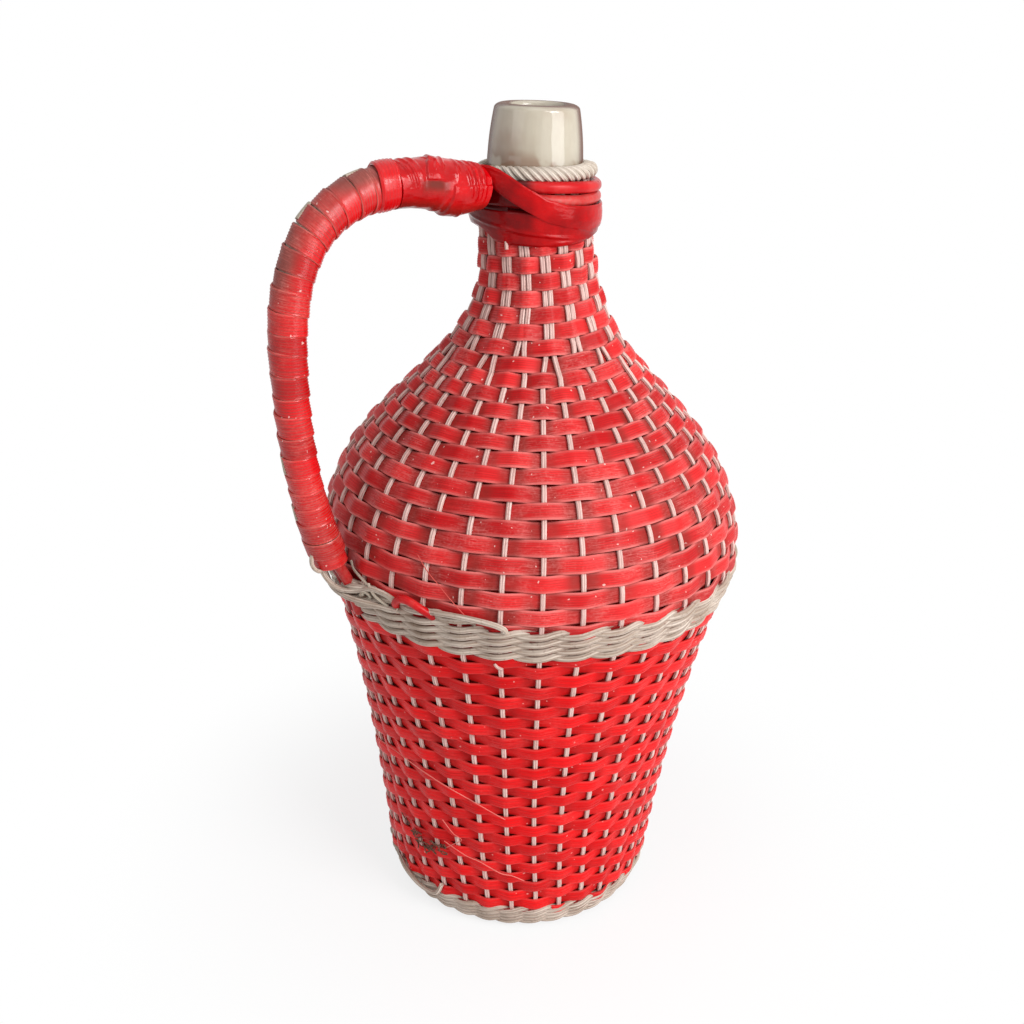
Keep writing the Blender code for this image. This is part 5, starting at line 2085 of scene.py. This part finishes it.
@dataclass
class Studio:
    """Camera at the photograph's angle, white surroundings and soft lamps."""

    stand: tuple[float, float, float] = (-0.31891, -0.39523, 0.4234)
    turn: float = math.radians(-39.94)
    yaw: float = math.radians(-2.0313)
    pitch: float = math.radians(23.9653)
    roll: float = math.radians(1.9374)
    lens: float = 40.5719
    floor_radius: float = 4.0
    floor_z: float = -0.0002

    # azimuth and elevation in degrees, distance, size and watts of each lamp
    LAMPS = (("key_box", -82, 36, 1.5, (0.7, 0.6), 12.5), ("window_box", -74, 18, 1.5, (0.85, 1.1), 13.5),
             ("fill_box", 182, 25, 1.6, (0.9, 0.9), 3.0), ("top_box", 227, 78, 1.4, (0.8, 0.8), 3.0))
    AIM = Vector((0, 0, 0.2))

    def camera(self) -> None:
        """Place the camera."""
        data = bpy.data.cameras.new("camera")
        data.lens = self.lens
        data.sensor_width = 36.0
        camera = put_in_scene("camera", data)
        fore = Vector((math.sin(self.yaw) * math.cos(self.pitch), math.cos(self.yaw) * math.cos(self.pitch),
                       -math.sin(self.pitch)))
        right = Vector((math.cos(self.yaw), -math.sin(self.yaw), 0))
        up = right.cross(fore)
        across = right * math.cos(self.roll) + up * math.sin(self.roll)
        above = up * math.cos(self.roll) - right * math.sin(self.roll)
        basis = Matrix((across, above, -fore)).transposed()
        turned = Matrix.Rotation(self.turn, 3, "Z") @ basis
        camera.matrix_world = Matrix.Translation(self.stand) @ turned.to_4x4()
        bpy.context.scene.camera = camera

    def world(self) -> None:
        """White surroundings, which light the piece less than they show."""
        scene = bpy.context.scene
        scene.view_settings.view_transform = "Standard"
        scene.world = bpy.data.worlds.new("studio")
        scene.world.use_nodes = True
        nodes = Nodes(scene.world.node_tree)
        level = nodes.add("ShaderNodeMix", {0: self._seen(nodes), 2: 0.40, 3: 1.0}, data_type="FLOAT")
        background = nodes.tree.nodes["Background"]
        background.inputs["Color"].default_value = (1, 1, 1, 1)
        nodes.feed(background.inputs["Strength"], level.outputs[0])

    @staticmethod
    def _seen(nodes: Nodes) -> Socket:
        """Whether the camera, a reflection or glass looks at this.

        Args:
            nodes: The tree to add to.

        Returns:
            1 if one does, or else 0.
        """
        path = nodes.add("ShaderNodeLightPath").outputs
        seen = nodes.maths("MAXIMUM", path["Is Camera Ray"], path["Is Glossy Ray"])
        return nodes.maths("MAXIMUM", seen, path["Is Transmission Ray"])

    def floor(self) -> None:
        """Plain pale floor that keeps a soft shadow."""
        rim = [tuple(polar(self.floor_radius, angle, self.floor_z)) for angle in turn_angles(64)]
        mesh = bpy.data.meshes.new("studio_floor")
        mesh.from_pydata(rim, [], [tuple(range(len(rim)))])
        mix = Recipe("studio_white")
        mix.set(Base_Color=(0.85, 0.85, 0.85, 1), Roughness=1.0, Specular_IOR_Level=0.0)
        glow = mix.add("ShaderNodeEmission", {"Strength": 1.0})
        away = mix.add("ShaderNodeVectorMath", {0: mix.place}, operation="LENGTH").outputs["Value"]
        share = mix.times(self._seen(mix), mix.ramp(away, 0.09, 0.24, 0.80, 1.0))
        both = mix.add("ShaderNodeMixShader", {0: share, 1: mix.shader.outputs[0], 2: glow.outputs[0]})
        mix.feed(mix.tree.nodes["Material Output"].inputs[0], both.outputs[0])
        mesh.materials.append(mix.material)
        put_in_scene("studio_floor", mesh)

    def lamps(self) -> None:
        """Soft boxes: two from the front right, a weak fill from the left and one above."""
        for name, azimuth, elevation, away, size, watts in self.LAMPS:
            data = bpy.data.lights.new(name, "AREA")
            data.shape = "RECTANGLE"
            data.size, data.size_y = size
            data.energy = watts
            turn, rise = math.radians(azimuth), math.radians(elevation)
            back = polar(math.cos(rise), turn, math.sin(rise))
            facing = back.to_track_quat("Z", "Y").to_matrix().to_4x4()
            put_in_scene(name, data).matrix_world = Matrix.Translation(self.AIM + back * away) @ facing

    def make(self) -> None:
        """Build the studio."""
        self.camera()
        self.world()
        self.floor()
        self.lamps()


def dress_base(shop: Workshop) -> None:
    """Give the basket's floor disc its finish."""
    for place in frame["nodes"]["basket_floor"].material_slots:
        place.material = shop.finish(TUBE_RED)


def main() -> None:
    """Build the demijohn from the bottle outward, then the studio."""
    logging.basicConfig(level=logging.INFO, format="%(name)s: %(message)s")
    shop = Workshop()
    line = CoverLine()
    basket = WovenZone("basket_weaver", ("basket_strip_a", "basket_strip_b"), "basket_red", line,
                       line.foot_top, line.waist, BASKET_ROWS,
                       Section(0.0065, 0.0009, ribs=3, rib_depth=0.00012, crown=0.0002, rounding=0.0002),
                       BASKET_RED, reach=0.00145, seed=21)
    dome = WovenZone("dome_weaver", ("dome_strip_a", "dome_strip_b"), "dome_red", line,
                     line.dome, line.weave_top, DOME_ROWS,
                     Section(0.0072, 0.0009, ribs=7, rib_depth=0.00018, crown=0.00025, rounding=0.0002),
                     DOME_RED, reach=0.0014, seed=31, pairs_from=line.pairs_from)
    stakes = StakeSet(line, [basket, dome])
    foot = CordBand("foot_band", ("foot_cord_a", "foot_cord_b"), line, start=0.0006,
                    end=line.foot_top + 0.0018, courses=4, diameter=0.0025, reach=0.0009, cross=0.42,
                    seed=5)
    waist = CordBand("waist_band", ("waist_cord_a", "waist_cord_b"), line, start=line.waist,
                     end=line.dome, courses=4, diameter=0.0028, reach=0.0016, cross=0.30, seed=7,
                     bulge=0.0046)
    Bottle(line).make(shop)
    dress_base(shop)
    stakes.make(shop)
    for part in (basket, dome, foot, waist, BandTail(line, waist)):
        part.make(shop, stakes)
    for end in loose_ends():
        end.make(shop, line)
    GrassClump(line).make(shop)
    Neck(line).make(shop)
    Handle(HandleLine()).make(shop)
    Studio().make()


if __name__ == "__main__":
    main()
